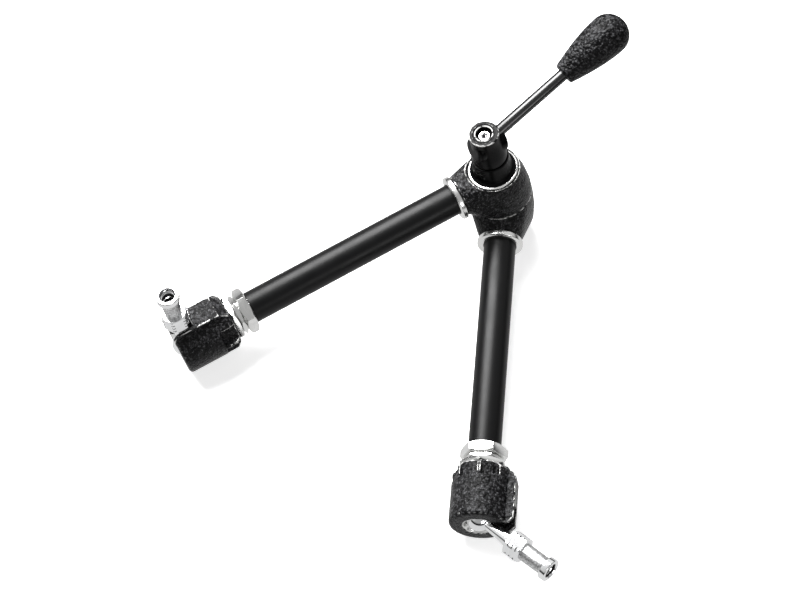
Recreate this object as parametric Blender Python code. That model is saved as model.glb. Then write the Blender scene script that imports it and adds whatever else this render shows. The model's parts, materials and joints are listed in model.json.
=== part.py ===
# Articulating friction arm: two tubes on a locking elbow, with a ball stud at the far end of each.
# Metres. In the arm's own frame the elbow's pivot is +Z and z = 0 is the split between the knuckles.
# The lower arm points along -Y. At the end the whole arm is laid on the ground, where it rests on
# the elbow's base and on both ball housings.

import math

import bmesh
import bpy
from mathutils import Matrix, Vector

MM = 0.001
UP = Vector((0, 0, 1))

# Clearances
SEAT_GAP = 0.3 * MM
RUNNING_GAP = 0.3 * MM
KNUCKLE_GAP = 0.3 * MM

# Layout
INCLUDED_ANGLE = math.radians(58)
TUBE_AXIS_HEIGHT = 18.5 * MM
BALL_REACH = 240.0 * MM
UPPER_STUD_TILT = math.radians(93.4)
LOWER_STUD_TILT = math.radians(53.2)
LOWER_PAD_ROLL = math.radians(-2.3)
STUD_TILT_LIMIT = math.radians(100)

# Knuckles
KNUCKLE_RADIUS = 22.8 * MM
KNUCKLE_RIM = 6.0 * MM
UPPER_SHOULDER_RADIUS = 18.9 * MM
LOWER_SHOULDER_RADIUS = 20.4 * MM
SHOULDER_FILLET = 2.0 * MM
TAPER_ABOVE_AXIS = 10.1 * MM
KNUCKLE_HEIGHT = TUBE_AXIS_HEIGHT + TAPER_ABOVE_AXIS + SHOULDER_FILLET
SOCKET_RADIUS = 14.3 * MM
SOCKET_END = 29.0 * MM
UPPER_BOSS_BASE_RADIUS = 16.6 * MM
UPPER_BOSS_WAIST_RADIUS = 13.7 * MM
UPPER_BOSS_TOP_RADIUS = 12.9 * MM
UPPER_BOSS_ABOVE_AXIS = 26.0 * MM
UPPER_BOSS_TOP = TUBE_AXIS_HEIGHT + UPPER_BOSS_ABOVE_AXIS
LOWER_BOSS_BASE_RADIUS = 16.4 * MM
LOWER_BOSS_WAIST_RADIUS = 15.9 * MM
LOWER_BOSS_TOP_RADIUS = 15.0 * MM
LOWER_BOSS_ABOVE_AXIS = 18.5 * MM
LOWER_BOSS_TOP = TUBE_AXIS_HEIGHT + LOWER_BOSS_ABOVE_AXIS
BOSS_ROOT = 2.0 * MM
BOSS_FLANGE = 0.8 * MM
BOSS_FLARE = 1.6 * MM

# Friction disc between the knuckles
DISC_OUTER_RADIUS = 20.2 * MM
DISC_INNER_RADIUS = 13.0 * MM
DISC_THICKNESS = 1.6 * MM

# Clamp inside the elbow
SPINDLE_RADIUS = 3.8 * MM
SPINDLE_HEAD_RADIUS = 6.4 * MM
SPINDLE_HEAD_HEIGHT = 3.6 * MM
WEDGE_NECK_RADIUS = 5.4 * MM
WEDGE_FOOT_RADIUS = 9.0 * MM
WEDGE_ABOVE_AXIS = 5.5 * MM
WEDGE_BELOW_AXIS = 7.0 * MM
WEDGE_FOOT = 2.5 * MM
CHAMBER_RADIUS = 10.4 * MM
CLAMP_TRAVEL = 1.0 * MM
CHAMBER_SPARE = 1.5 * MM
UPPER_CHAMBER_TOP = TUBE_AXIS_HEIGHT + (WEDGE_ABOVE_AXIS + CLAMP_TRAVEL + CHAMBER_SPARE)
WASHER_DEPTH = 5.5 * MM
WASHER_SEAT = UPPER_BOSS_TOP - WASHER_DEPTH
WASHER_THICKNESS = 1.5 * MM
WASHER_RADIUS = 9.0 * MM
BASE_CAP_RADIUS = 11.5 * MM
BASE_CAP_THICKNESS = 5.0 * MM
BASE_CAP_STANDS = 3.5 * MM

# Lever
ROD_ABOVE_BOSS = 16.3 * MM
ROD_AXIS_HEIGHT = UPPER_BOSS_TOP + ROD_ABOVE_BOSS
CLAMP_NUT_RADIUS = 7.0 * MM
NUT_BELOW_ROD = 5.8 * MM
CLAMP_NUT_TOP = ROD_AXIS_HEIGHT - NUT_BELOW_ROD
SPINDLE_BELOW_NUT_TOP = 5.0 * MM
SPINDLE_TOP = CLAMP_NUT_TOP - SPINDLE_BELOW_NUT_TOP
HUB_ABOVE_NUT = 16.5 * MM
HUB_TOP = CLAMP_NUT_TOP + HUB_ABOVE_NUT
HUB_TOP_RADIUS = 10.4 * MM
HUB_FOOT_RADIUS = 12.2 * MM
HUB_RECESS_RADIUS = 5.6 * MM
HUB_RECESS_DEPTH = 4.5 * MM
SCREW_HEAD_RADIUS = 3.9 * MM
SCREW_HEAD_HEIGHT = 3.0 * MM
SCREW_SHANK_RADIUS = 2.0 * MM
SCREW_SHANK_LENGTH = 14.5 * MM
SCREW_SOCKET_ACROSS = 3.4 * MM
ROD_SLOPE = math.radians(12)
LEVER_DIRECTION = math.radians(40)
ROD_RADIUS = 4.1 * MM
ROD_INNER_END = 3.6 * MM
CROSS_BOSS_RADIUS = 9.4 * MM
CROSS_BOSS_BELOW_TOP = 13.0 * MM
CROSS_BOSS_HEIGHT = HUB_TOP - CROSS_BOSS_BELOW_TOP
CROSS_BOSS_FRONT = 11.8 * MM
CROSS_BOSS_BACK = 11.6 * MM
CROSS_BOSS_TILT = math.radians(12)
KNOB_START = 69.0 * MM
KNOB_LENGTH = 54.0 * MM
KNOB_BASE_RADIUS = 7.6 * MM
KNOB_RADIUS = 14.2 * MM
KNOB_BORE_DEPTH = 26.0 * MM

# Tubes and what they hold
TUBE_RADIUS = 11.0 * MM
TUBE_WALL = 2.0 * MM
TUBE_START = 17.0 * MM
BALL_PAST_TUBE = 50.3 * MM
TUBE_END = BALL_REACH - BALL_PAST_TUBE
RING_RADIUS = 15.8 * MM
RING_THICKNESS = 4.0 * MM
PUSH_ROD_RADIUS = 4.0 * MM
GUIDE_LENGTH = 12.0 * MM
GUIDE_START = 100.0 * MM

# Fittings on the tube's end
FITTING_HEX_ACROSS = 28.0 * MM
FITTING_HEX_THICKNESS = 7.2 * MM
FITTING_PLUG_LENGTH = 15.0 * MM
FITTING_STUB_RADIUS = 10.6 * MM
STUB_BEFORE_BALL = 24.0 * MM
FITTING_STUB_END = BALL_REACH - STUB_BEFORE_BALL
FITTING_BORE_RADIUS = 4.4 * MM
JAM_NUT_ACROSS = 24.5 * MM
JAM_NUT_THICKNESS = 3.4 * MM
LOCK_RING_ACROSS = 29.2 * MM
LOCK_RING_THICKNESS = 3.9 * MM

# Ball housing
HOUSING_PAST_BALL = 6.0 * MM
HOUSING_END = BALL_REACH + HOUSING_PAST_BALL
HOUSING_RADIUS = 20.0 * MM
HOUSING_END_FILLET = 3.2 * MM
COLLAR_RADIUS = 16.4 * MM
COLLAR_POCKET_LENGTH = 12.0 * MM
COLLAR_RIBS = 8
COLLAR_RIB_WIDTH = 2.4 * MM
PAD_HEIGHT = 23.3 * MM
PAD_WIDTH = 17.4 * MM
MOUTH_RADIUS = 12.8 * MM
SEAT_LIP_RADIUS = 7.8 * MM

# Ball stud
BALL_RADIUS = 8.6 * MM
NECK_RADIUS = 3.6 * MM
NECK_END_RADIUS = 5.6 * MM
STUD_HEX_START = 26.5 * MM
STUD_HEX_LENGTH = 12.5 * MM
STUD_HEX_ACROSS = 16.0 * MM
STUD_LENGTH = 61.0 * MM
SPIGOT_RADIUS = 8.0 * MM
SPIGOT_GROOVE_RADIUS = 6.0 * MM
SPIGOT_FLANGE = 4.6 * MM
SPIGOT_CHAMFER = 0.8 * MM
SPIGOT_BORE_RADIUS = 4.75 * MM
SPIGOT_BORE_DEPTH = 12.0 * MM

# Ball cup, which presses on the ball
CUP_LENGTH = 12.8 * MM
CUP_BEHIND_BALL = 19.5 * MM
CUP_START = BALL_REACH - CUP_BEHIND_BALL
CUP_FRONT = CUP_START + CUP_LENGTH

# Facets round a circle
FINE = 28
MEDIUM = 20
COARSE = 14


def new_object(name, mesh, parent=None, place=Matrix.Identity(4)):
    part = bpy.data.objects.new(name, mesh)
    bpy.context.scene.collection.objects.link(part)
    part.parent = parent
    part.matrix_local = place
    return part


def frame(name, parent, place):
    empty = bpy.data.objects.new(name, None)
    bpy.context.scene.collection.objects.link(empty)
    empty.empty_display_size = 0.02
    empty.parent = parent
    empty.matrix_local = place
    return empty


def material(name, colour, roughness, metallic):
    finish = bpy.data.materials.new(name)
    finish.use_nodes = True
    shader = finish.node_tree.nodes["Principled BSDF"]
    shader.inputs["Base Color"].default_value = (*colour, 1.0)
    shader.inputs["Roughness"].default_value = roughness
    shader.inputs["Metallic"].default_value = metallic
    return finish


def mesh_from(shape, name):
    bmesh.ops.remove_doubles(shape, verts=shape.verts, dist=1e-6)
    bmesh.ops.recalc_face_normals(shape, faces=shape.faces)
    mesh = bpy.data.meshes.new(name)
    shape.to_mesh(mesh)
    shape.free()
    return mesh


def turned(name, profile, facets):
    """A solid of revolution about Z from a closed outline of (radius, z) points."""
    shape = bmesh.new()
    points = [shape.verts.new((radius, 0, z)) for radius, z in profile]
    edges = [shape.edges.new((a, b)) for a, b in zip(points, points[1:] + points[:1])]
    bmesh.ops.spin(shape, geom=points + edges, cent=(0, 0, 0), axis=UP, dvec=(0, 0, 0),
                   angle=2 * math.pi, steps=facets)
    bmesh.ops.remove_doubles(shape, verts=shape.verts, dist=1e-6)
    on_axis = [edge for edge in shape.edges if all(v.co.xy.length < 1e-7 for v in edge.verts)]
    bmesh.ops.delete(shape, geom=on_axis, context="EDGES_FACES")
    return mesh_from(shape, name)


def extruded(name, outline, bottom, top):
    """A prism along Z over a flat outline of (x, y) points."""
    shape = bmesh.new()
    face = shape.faces.new([shape.verts.new((x, y, bottom)) for x, y in outline])
    grown = bmesh.ops.extrude_face_region(shape, geom=[face])
    risen = [item for item in grown["geom"] if isinstance(item, bmesh.types.BMVert)]
    bmesh.ops.translate(shape, verts=risen, vec=(0, 0, top - bottom))
    return mesh_from(shape, name)


def hexagon(across_flats):
    corner = across_flats / math.sqrt(3)
    return [(corner * math.cos(math.radians(60 * i)), corner * math.sin(math.radians(60 * i)))
            for i in range(6)]


def arc(centre, radius, start, end, steps):
    """Points on an arc in the plane of an outline, from one angle to another in degrees."""
    turns = [math.radians(start + (end - start) * i / steps) for i in range(steps + 1)]
    return [(centre[0] + radius * math.cos(t), centre[1] + radius * math.sin(t)) for t in turns]


def combine(part, operation, mesh, place=Matrix.Identity(4)):
    """Adds, cuts or intersects a shape, given in the part's own frame, and keeps the result."""
    tool = bpy.data.objects.new("tool", mesh)
    bpy.context.scene.collection.objects.link(tool)
    bpy.context.view_layer.update()
    tool.matrix_world = part.matrix_world @ place
    step = part.modifiers.new("shape", "BOOLEAN")
    step.operation = operation
    step.solver = "EXACT"
    step.object = tool
    bpy.context.view_layer.update()
    result = bpy.data.meshes.new_from_object(part.evaluated_get(bpy.context.evaluated_depsgraph_get()))
    part.modifiers.clear()
    part.data = result
    bpy.data.objects.remove(tool)


def finished(part, finish, crease=35):
    """Gives a part its material and smooth round sides with crisp edges."""
    part.data.materials.clear()
    part.data.materials.append(finish)
    part.data.shade_smooth()
    part.data.set_sharp_from_angle(angle=math.radians(crease))
    return part


def turn(angle, axis):
    return Matrix.Rotation(angle, 4, axis)


def shift(x=0.0, y=0.0, z=0.0):
    return Matrix.Translation((x, y, z))


# Turns a shape drawn along Z so that it lies along +X
ALONG_X = turn(math.pi / 2, "Y")


def knuckle_profile(shoulder_radius):
    """Half section of a knuckle's body above the split, without its socket."""
    top = KNUCKLE_HEIGHT
    slope_foot = top - SHOULDER_FILLET
    return ([(0, KNUCKLE_GAP / 2), (KNUCKLE_RADIUS - SEAT_GAP, KNUCKLE_GAP / 2),
             (KNUCKLE_RADIUS, KNUCKLE_GAP / 2 + SEAT_GAP), (KNUCKLE_RADIUS, KNUCKLE_RIM)]
            + [((KNUCKLE_RADIUS + shoulder_radius) / 2 + 0.5 * MM, (KNUCKLE_RIM + top) / 2)]
            + arc((shoulder_radius - SHOULDER_FILLET, slope_foot), SHOULDER_FILLET, 0, 90, 2)
            + [(0, top)])


def knuckle_casting(name, shoulder_radius):
    """The cast body: a tapering disc drawn out into the tube's socket, along +X, above the split."""
    shape = bmesh.new()
    for radius, z in knuckle_profile(shoulder_radius):
        if radius > 0:
            bmesh.ops.create_circle(shape, segments=FINE, radius=radius, matrix=shift(z=z))
    for inset, reach in ((0.0, SOCKET_END - 1.0 * MM), (1.0 * MM, SOCKET_END)):
        bmesh.ops.create_circle(shape, segments=MEDIUM, radius=SOCKET_RADIUS - inset,
                                matrix=shift(reach, 0, TUBE_AXIS_HEIGHT) @ ALONG_X)
    hull = bmesh.ops.convex_hull(shape, input=shape.verts, use_existing_faces=False)
    inside = [item for item in hull["geom_interior"] if isinstance(item, bmesh.types.BMVert)]
    bmesh.ops.delete(shape, geom=inside, context="VERTS")
    loose = [edge for edge in shape.edges if not edge.link_faces]
    bmesh.ops.delete(shape, geom=loose, context="EDGES")
    bmesh.ops.dissolve_limit(shape, angle_limit=math.radians(0.5), verts=shape.verts, edges=shape.edges)
    return mesh_from(shape, name)


def boss(base_radius, waist_radius, top_radius, top):
    """The boss on a knuckle: a flange on the casting, a flare, then a slow taper to the rounded top."""
    rounding = 1.0 * MM
    flange = KNUCKLE_HEIGHT + BOSS_FLANGE
    return turned("boss", [(0, KNUCKLE_HEIGHT - BOSS_ROOT), (base_radius, KNUCKLE_HEIGHT - BOSS_ROOT),
                           (base_radius, flange), (waist_radius, flange + BOSS_FLARE)]
                  + arc((top_radius - rounding, top - rounding), rounding, 10, 90, 2) + [(0, top)], FINE)


def bore(radius, bottom, top, facets=MEDIUM):
    return turned("bore", [(0, bottom), (radius, bottom), (radius, top), (0, top)], facets)


def knuckle(name, holder, shoulder_radius, boss_mesh, well):
    """A knuckle with its socket along +X and its boss up. The well is what is bored along the pivot."""
    part = new_object(name, knuckle_casting(name, shoulder_radius), holder)
    combine(part, "UNION", boss_mesh)
    for radius, bottom, top in well:
        combine(part, "DIFFERENCE", bore(radius, bottom, top))
    recess = DISC_THICKNESS / 2 + SEAT_GAP
    combine(part, "DIFFERENCE", turned("recess", [
        (DISC_INNER_RADIUS - SEAT_GAP, -recess), (DISC_OUTER_RADIUS + SEAT_GAP, -recess),
        (DISC_OUTER_RADIUS + SEAT_GAP, recess), (DISC_INNER_RADIUS - SEAT_GAP, recess)], FINE))
    along_tube = shift(z=TUBE_AXIS_HEIGHT) @ ALONG_X
    combine(part, "DIFFERENCE", bore(TUBE_RADIUS + SEAT_GAP, TUBE_START - SEAT_GAP, SOCKET_END + 1 * MM, FINE),
            along_tube)
    combine(part, "DIFFERENCE", bore(PUSH_ROD_RADIUS + RUNNING_GAP, 0, TUBE_START + 1 * MM), along_tube)
    return part


def wedge_profile(axis_height):
    """A clamp wedge: narrow above the push rod's axis and wide below it, with a foot."""
    hole = SPINDLE_RADIUS + SEAT_GAP
    return [(hole, axis_height - WEDGE_BELOW_AXIS - WEDGE_FOOT),
            (WEDGE_FOOT_RADIUS, axis_height - WEDGE_BELOW_AXIS - WEDGE_FOOT),
            (WEDGE_FOOT_RADIUS, axis_height - WEDGE_BELOW_AXIS),
            (WEDGE_NECK_RADIUS, axis_height + WEDGE_ABOVE_AXIS),
            (hole, axis_height + WEDGE_ABOVE_AXIS)]


def wedge_radius_at_rod():
    """The wedge's radius where the push rod bears on it."""
    share = WEDGE_ABOVE_AXIS / (WEDGE_ABOVE_AXIS + WEDGE_BELOW_AXIS)
    return WEDGE_NECK_RADIUS + share * (WEDGE_FOOT_RADIUS - WEDGE_NECK_RADIUS)


def lower_wedge_foot():
    return -TUBE_AXIS_HEIGHT - WEDGE_BELOW_AXIS - WEDGE_FOOT


def build_elbow(arm, upper, lower, finishes):
    """Knuckles, friction disc, base cap and thrust washer."""
    # The upper well: clear of the wedge's lift, then a bush for the spindle, then the washer's seat
    well = [(CHAMBER_RADIUS, -1 * MM, UPPER_CHAMBER_TOP),
            (SPINDLE_RADIUS + RUNNING_GAP, -1 * MM, UPPER_BOSS_TOP),
            (WASHER_RADIUS + SEAT_GAP, WASHER_SEAT, UPPER_BOSS_TOP + 1 * MM)]
    finished(knuckle("upper_knuckle", upper, UPPER_SHOULDER_RADIUS,
                     boss(UPPER_BOSS_BASE_RADIUS, UPPER_BOSS_WAIST_RADIUS, UPPER_BOSS_TOP_RADIUS,
                          UPPER_BOSS_TOP), well),
             finishes["crackle_black"])
    # The lower knuckle is the upper's mirror image, with a shorter boss that the base cap closes
    cap_seat = LOWER_BOSS_TOP - BASE_CAP_THICKNESS + BASE_CAP_STANDS
    lower_well = [(CHAMBER_RADIUS, -1 * MM, cap_seat),
                  (BASE_CAP_RADIUS + SEAT_GAP, cap_seat - SEAT_GAP, LOWER_BOSS_TOP + 1 * MM)]
    part = knuckle("lower_knuckle", lower, LOWER_SHOULDER_RADIUS,
                   boss(LOWER_BOSS_BASE_RADIUS, LOWER_BOSS_WAIST_RADIUS, LOWER_BOSS_TOP_RADIUS,
                        LOWER_BOSS_TOP), lower_well)
    part.data.transform(Matrix.Diagonal((1, 1, -1, 1)))
    part.data.flip_normals()
    finished(part, finishes["crackle_black"])

    half = DISC_THICKNESS / 2
    disc = turned("friction_disc", [(DISC_INNER_RADIUS, -half), (DISC_OUTER_RADIUS, -half),
                                    (DISC_OUTER_RADIUS, half), (DISC_INNER_RADIUS, half)], FINE)
    finished(new_object("friction_disc", disc, arm), finishes["friction_brown"])

    foot = -LOWER_BOSS_TOP - BASE_CAP_STANDS
    rim = 1.0 * MM
    cap = turned("base_cap", [(0, -cap_seat), (0, foot), (BASE_CAP_RADIUS - rim, foot),
                              (BASE_CAP_RADIUS, foot + rim), (BASE_CAP_RADIUS, -cap_seat)], MEDIUM)
    finished(new_object("base_cap", cap, arm), finishes["satin_black"])

    low = WASHER_SEAT + SEAT_GAP
    hole = SPINDLE_RADIUS + RUNNING_GAP
    washer = turned("thrust_washer", [(hole, low), (WASHER_RADIUS, low),
                                      (WASHER_RADIUS, low + WASHER_THICKNESS),
                                      (hole, low + WASHER_THICKNESS)], MEDIUM)
    finished(new_object("thrust_washer", washer, upper), finishes["nickel"])


def build_clamp(arm, finishes):
    """The spindle with its two wedges, which press the push rods outwards."""
    for name, height in (("upper_wedge", TUBE_AXIS_HEIGHT), ("lower_wedge", -TUBE_AXIS_HEIGHT)):
        finished(new_object(name, turned(name, wedge_profile(height), MEDIUM), arm), finishes["steel"])
    head_top = lower_wedge_foot() - SEAT_GAP
    head_foot = head_top - SPINDLE_HEAD_HEIGHT
    edge = 0.5 * MM
    spindle = turned("spindle", [(0, head_foot), (SPINDLE_HEAD_RADIUS - edge, head_foot),
                                 (SPINDLE_HEAD_RADIUS, head_foot + edge), (SPINDLE_HEAD_RADIUS, head_top),
                                 (SPINDLE_RADIUS, head_top), (SPINDLE_RADIUS, SPINDLE_TOP - edge),
                                 (SPINDLE_RADIUS - edge, SPINDLE_TOP), (0, SPINDLE_TOP)], MEDIUM)
    finished(new_object("spindle", spindle, arm), finishes["steel"])


def lever_hub(lever):
    """The hub: a barrel that flares to its foot, crossed by a boss under the rod."""
    foot = UPPER_BOSS_TOP + SEAT_GAP
    edge = 0.7 * MM
    hub = new_object("lever_hub", turned("lever_hub", [
        (0, foot), (HUB_FOOT_RADIUS - 1.4 * MM, foot), (HUB_FOOT_RADIUS, foot + 1.6 * MM),
        (HUB_FOOT_RADIUS, foot + 6 * MM), (HUB_TOP_RADIUS, ROD_AXIS_HEIGHT + 4 * MM),
        (HUB_TOP_RADIUS, HUB_TOP - edge), (HUB_TOP_RADIUS - edge, HUB_TOP), (0, HUB_TOP)], FINE), lever)
    bevel = 1.2 * MM
    cross_boss = turned("cross_boss", [(0, -CROSS_BOSS_BACK), (CROSS_BOSS_RADIUS - bevel, -CROSS_BOSS_BACK),
                                       (CROSS_BOSS_RADIUS, -CROSS_BOSS_BACK + bevel),
                                       (CROSS_BOSS_RADIUS, CROSS_BOSS_FRONT - bevel),
                                       (CROSS_BOSS_RADIUS - bevel, CROSS_BOSS_FRONT),
                                       (0, CROSS_BOSS_FRONT)], MEDIUM)
    lean = turn(-ROD_SLOPE, "Y")
    combine(hub, "UNION", cross_boss, shift(z=CROSS_BOSS_HEIGHT) @ turn(CROSS_BOSS_TILT, "Y") @ ALONG_X)
    combine(hub, "DIFFERENCE", bore(HUB_RECESS_RADIUS, HUB_TOP - HUB_RECESS_DEPTH, HUB_TOP + 1 * MM))
    combine(hub, "DIFFERENCE", bore(CLAMP_NUT_RADIUS + SEAT_GAP, foot - 1 * MM, CLAMP_NUT_TOP + SEAT_GAP))
    combine(hub, "DIFFERENCE", bore(SCREW_SHANK_RADIUS + SEAT_GAP, CLAMP_NUT_TOP - 1 * MM, HUB_TOP))
    combine(hub, "DIFFERENCE", bore(ROD_RADIUS + SEAT_GAP, ROD_INNER_END - SEAT_GAP, 2 * CROSS_BOSS_FRONT),
            shift(z=ROD_AXIS_HEIGHT) @ lean @ ALONG_X)
    return hub


def knob_profile():
    """The teardrop knob from its base at z = 0: a slow swell, then a round crown."""
    belly = KNOB_LENGTH - KNOB_RADIUS * 0.95
    swell = [(KNOB_BASE_RADIUS + (KNOB_RADIUS - KNOB_BASE_RADIUS) * math.sin(math.pi / 2 * i / 5),
              belly * i / 5) for i in range(1, 5)]
    crown = [(KNOB_RADIUS * math.cos(math.pi / 2 * i / 6),
              belly + (KNOB_LENGTH - belly) * math.sin(math.pi / 2 * i / 6)) for i in range(6)]
    edge = 0.8 * MM
    hole = ROD_RADIUS + SEAT_GAP
    return ([(0, KNOB_BORE_DEPTH), (hole, KNOB_BORE_DEPTH), (hole, 0), (KNOB_BASE_RADIUS - edge, 0),
             (KNOB_BASE_RADIUS, edge)] + swell + crown + [(0, KNOB_LENGTH)])


def build_lever(lever, finishes):
    """Hub, clamp nut, hub screw, rod and knob. The rod leaves the hub along the lever's +X."""
    finished(lever_hub(lever), finishes["satin_black"])

    low = WASHER_SEAT + 2 * SEAT_GAP + WASHER_THICKNESS
    thread = SPINDLE_RADIUS + RUNNING_GAP
    tap = SCREW_SHANK_RADIUS + SEAT_GAP
    nut = turned("clamp_nut", [(thread, low), (CLAMP_NUT_RADIUS, low), (CLAMP_NUT_RADIUS, CLAMP_NUT_TOP),
                               (tap, CLAMP_NUT_TOP), (tap, SPINDLE_TOP + 1 * MM),
                               (thread, SPINDLE_TOP + 1 * MM)], MEDIUM)
    nut_part = new_object("clamp_nut", nut, lever)
    finished(nut_part, finishes["steel"])

    seat = HUB_TOP - HUB_RECESS_DEPTH + SEAT_GAP
    edge = 0.5 * MM
    shank_end = max(seat - SCREW_SHANK_LENGTH, SPINDLE_TOP + 1.3 * MM)
    screw = new_object("hub_screw", turned("hub_screw", [
        (0, shank_end), (SCREW_SHANK_RADIUS, shank_end), (SCREW_SHANK_RADIUS, seat),
        (SCREW_HEAD_RADIUS, seat), (SCREW_HEAD_RADIUS, seat + SCREW_HEAD_HEIGHT - edge),
        (SCREW_HEAD_RADIUS - edge, seat + SCREW_HEAD_HEIGHT), (0, seat + SCREW_HEAD_HEIGHT)], COARSE), lever)
    socket = extruded("socket", hexagon(SCREW_SOCKET_ACROSS), seat + 1.2 * MM, seat + SCREW_HEAD_HEIGHT + 1 * MM)
    combine(screw, "DIFFERENCE", socket)
    finished(screw, finishes["nickel"])

    lean = shift(z=ROD_AXIS_HEIGHT) @ turn(-ROD_SLOPE, "Y") @ ALONG_X
    rod_end = KNOB_START + KNOB_BORE_DEPTH - SEAT_GAP
    rod = turned("lever_rod", [(0, ROD_INNER_END), (ROD_RADIUS - edge, ROD_INNER_END),
                               (ROD_RADIUS, ROD_INNER_END + edge), (ROD_RADIUS, rod_end - edge),
                               (ROD_RADIUS - edge, rod_end), (0, rod_end)], COARSE)
    finished(new_object("lever_rod", rod, lever, lean), finishes["satin_black"])
    knob = turned("lever_knob", knob_profile(), FINE)
    finished(new_object("lever_knob", knob, lever, lean @ shift(z=KNOB_START)), finishes["grained_black"])


def tube_parts(side, axis, finishes):
    """Collar ring, tube, push rod and its guide. The axis frame's +Z runs along the tube."""
    low = SOCKET_END + SEAT_GAP
    hole = TUBE_RADIUS + SEAT_GAP
    edge = 0.8 * MM
    ring = turned(side + "_ring", [(hole, low), (RING_RADIUS - edge, low), (RING_RADIUS, low + edge),
                                   (RING_RADIUS, low + RING_THICKNESS - edge),
                                   (RING_RADIUS - edge, low + RING_THICKNESS),
                                   (hole, low + RING_THICKNESS)], FINE)
    finished(new_object(side + "_collar_ring", ring, axis), finishes["nickel"])

    inner = TUBE_RADIUS - TUBE_WALL
    tube = turned(side + "_tube", [(inner, TUBE_START), (TUBE_RADIUS, TUBE_START), (TUBE_RADIUS, TUBE_END),
                                   (inner, TUBE_END)], FINE)
    finished(new_object(side + "_tube", tube, axis), finishes["satin_black"])

    running = PUSH_ROD_RADIUS + RUNNING_GAP
    guide = turned(side + "_guide", [(running, GUIDE_START), (inner - SEAT_GAP, GUIDE_START),
                                     (inner - SEAT_GAP, GUIDE_START + GUIDE_LENGTH),
                                     (running, GUIDE_START + GUIDE_LENGTH)], MEDIUM)
    finished(new_object(side + "_rod_guide", guide, axis), finishes["guide_white"])


def push_parts(side, axis, finishes):
    """The push rod, which bears on the wedge, and the cup that it presses on the ball."""
    tip = wedge_radius_at_rod() + SEAT_GAP
    nose = [(PUSH_ROD_RADIUS * math.sin(math.pi / 2 * i / 4),
             tip + PUSH_ROD_RADIUS * (1 - math.cos(math.pi / 2 * i / 4))) for i in range(5)]
    end = CUP_START - SEAT_GAP
    rod = turned(side + "_push_rod", nose + [(PUSH_ROD_RADIUS, end), (0, end)], COARSE)
    finished(new_object(side + "_push_rod", rod, axis), finishes["steel"])

    hollow = BALL_RADIUS + SEAT_GAP
    reach = math.degrees(math.acos((BALL_REACH - CUP_FRONT) / hollow))
    dish = arc((0, 0), hollow, 0, reach, 3)
    cup_radius = BALL_RADIUS
    edge = 0.6 * MM
    cup = turned(side + "_ball_cup", [(0, CUP_START), (cup_radius - edge, CUP_START),
                                      (cup_radius, CUP_START + edge), (cup_radius, CUP_FRONT)]
                 + [(y, BALL_REACH - x) for x, y in reversed(dish)], MEDIUM)
    finished(new_object(side + "_ball_cup", cup, axis), finishes["brass"])


def chamfered_hexagon(name, holder, across, bottom, top):
    """A hexagonal nut's body, with its corners turned off at both ends."""
    spare = 1.0 * MM
    part = new_object(name, extruded(name, hexagon(across), bottom - spare, top + spare), holder)
    corner = across / math.sqrt(3) + 0.2 * MM
    flat = across / 2
    drop = (corner - flat + 0.3 * MM) * math.tan(math.radians(30))
    lens = turned("lens", [(0, bottom), (flat - 0.3 * MM, bottom), (corner, bottom + drop),
                           (corner, top - drop), (flat - 0.3 * MM, top), (0, top)], MEDIUM)
    combine(part, "INTERSECT", lens)
    return part


def end_fittings(side, axis, finishes):
    """Threaded fitting in the tube's end, with the jam nut and the lock ring behind the housing."""
    hex_low = TUBE_END + SEAT_GAP
    hex_top = hex_low + FITTING_HEX_THICKNESS
    plug = TUBE_RADIUS - TUBE_WALL - SEAT_GAP
    edge = 0.8 * MM
    fitting = chamfered_hexagon(side + "_tube_fitting", axis, FITTING_HEX_ACROSS, hex_low, hex_top)
    core = turned("core", [(0, TUBE_END - FITTING_PLUG_LENGTH), (plug, TUBE_END - FITTING_PLUG_LENGTH),
                           (plug, hex_low + 1 * MM), (FITTING_STUB_RADIUS, hex_low + 1 * MM),
                           (FITTING_STUB_RADIUS, FITTING_STUB_END - edge),
                           (FITTING_STUB_RADIUS - edge, FITTING_STUB_END), (0, FITTING_STUB_END)], MEDIUM)
    combine(fitting, "UNION", core)
    combine(fitting, "DIFFERENCE", bore(FITTING_BORE_RADIUS, TUBE_END - FITTING_PLUG_LENGTH - 1 * MM,
                                        FITTING_STUB_END + 1 * MM, COARSE))
    finished(fitting, finishes["nickel"])

    low = hex_top + SEAT_GAP
    hole = FITTING_STUB_RADIUS + SEAT_GAP
    for name, across, thickness in ((side + "_jam_nut", JAM_NUT_ACROSS, JAM_NUT_THICKNESS),
                                    (side + "_lock_ring", LOCK_RING_ACROSS, LOCK_RING_THICKNESS)):
        nut = chamfered_hexagon(name, axis, across, low, low + thickness)
        nut.data.transform(turn(math.radians(30), "Z") if across == LOCK_RING_ACROSS else Matrix.Identity(4))
        combine(nut, "DIFFERENCE", bore(hole, low - 1 * MM, low + thickness + 1 * MM))
        finished(nut, finishes["nickel"])
        low += thickness + SEAT_GAP
    return low


def pocket_outline():
    """One pocket between two ribs of the housing's collar, beside the rib at angle 0."""
    half_rib = COLLAR_RIB_WIDTH / 2
    pitch = 360 / COLLAR_RIBS
    outside = HOUSING_RADIUS + 6 * MM
    inner = math.degrees(math.asin(half_rib / COLLAR_RADIUS))
    outer = math.degrees(math.asin(half_rib / outside))
    return arc((0, 0), COLLAR_RADIUS, inner, pitch - inner, 3) + arc((0, 0), outside, pitch - outer, outer, 1)


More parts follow.
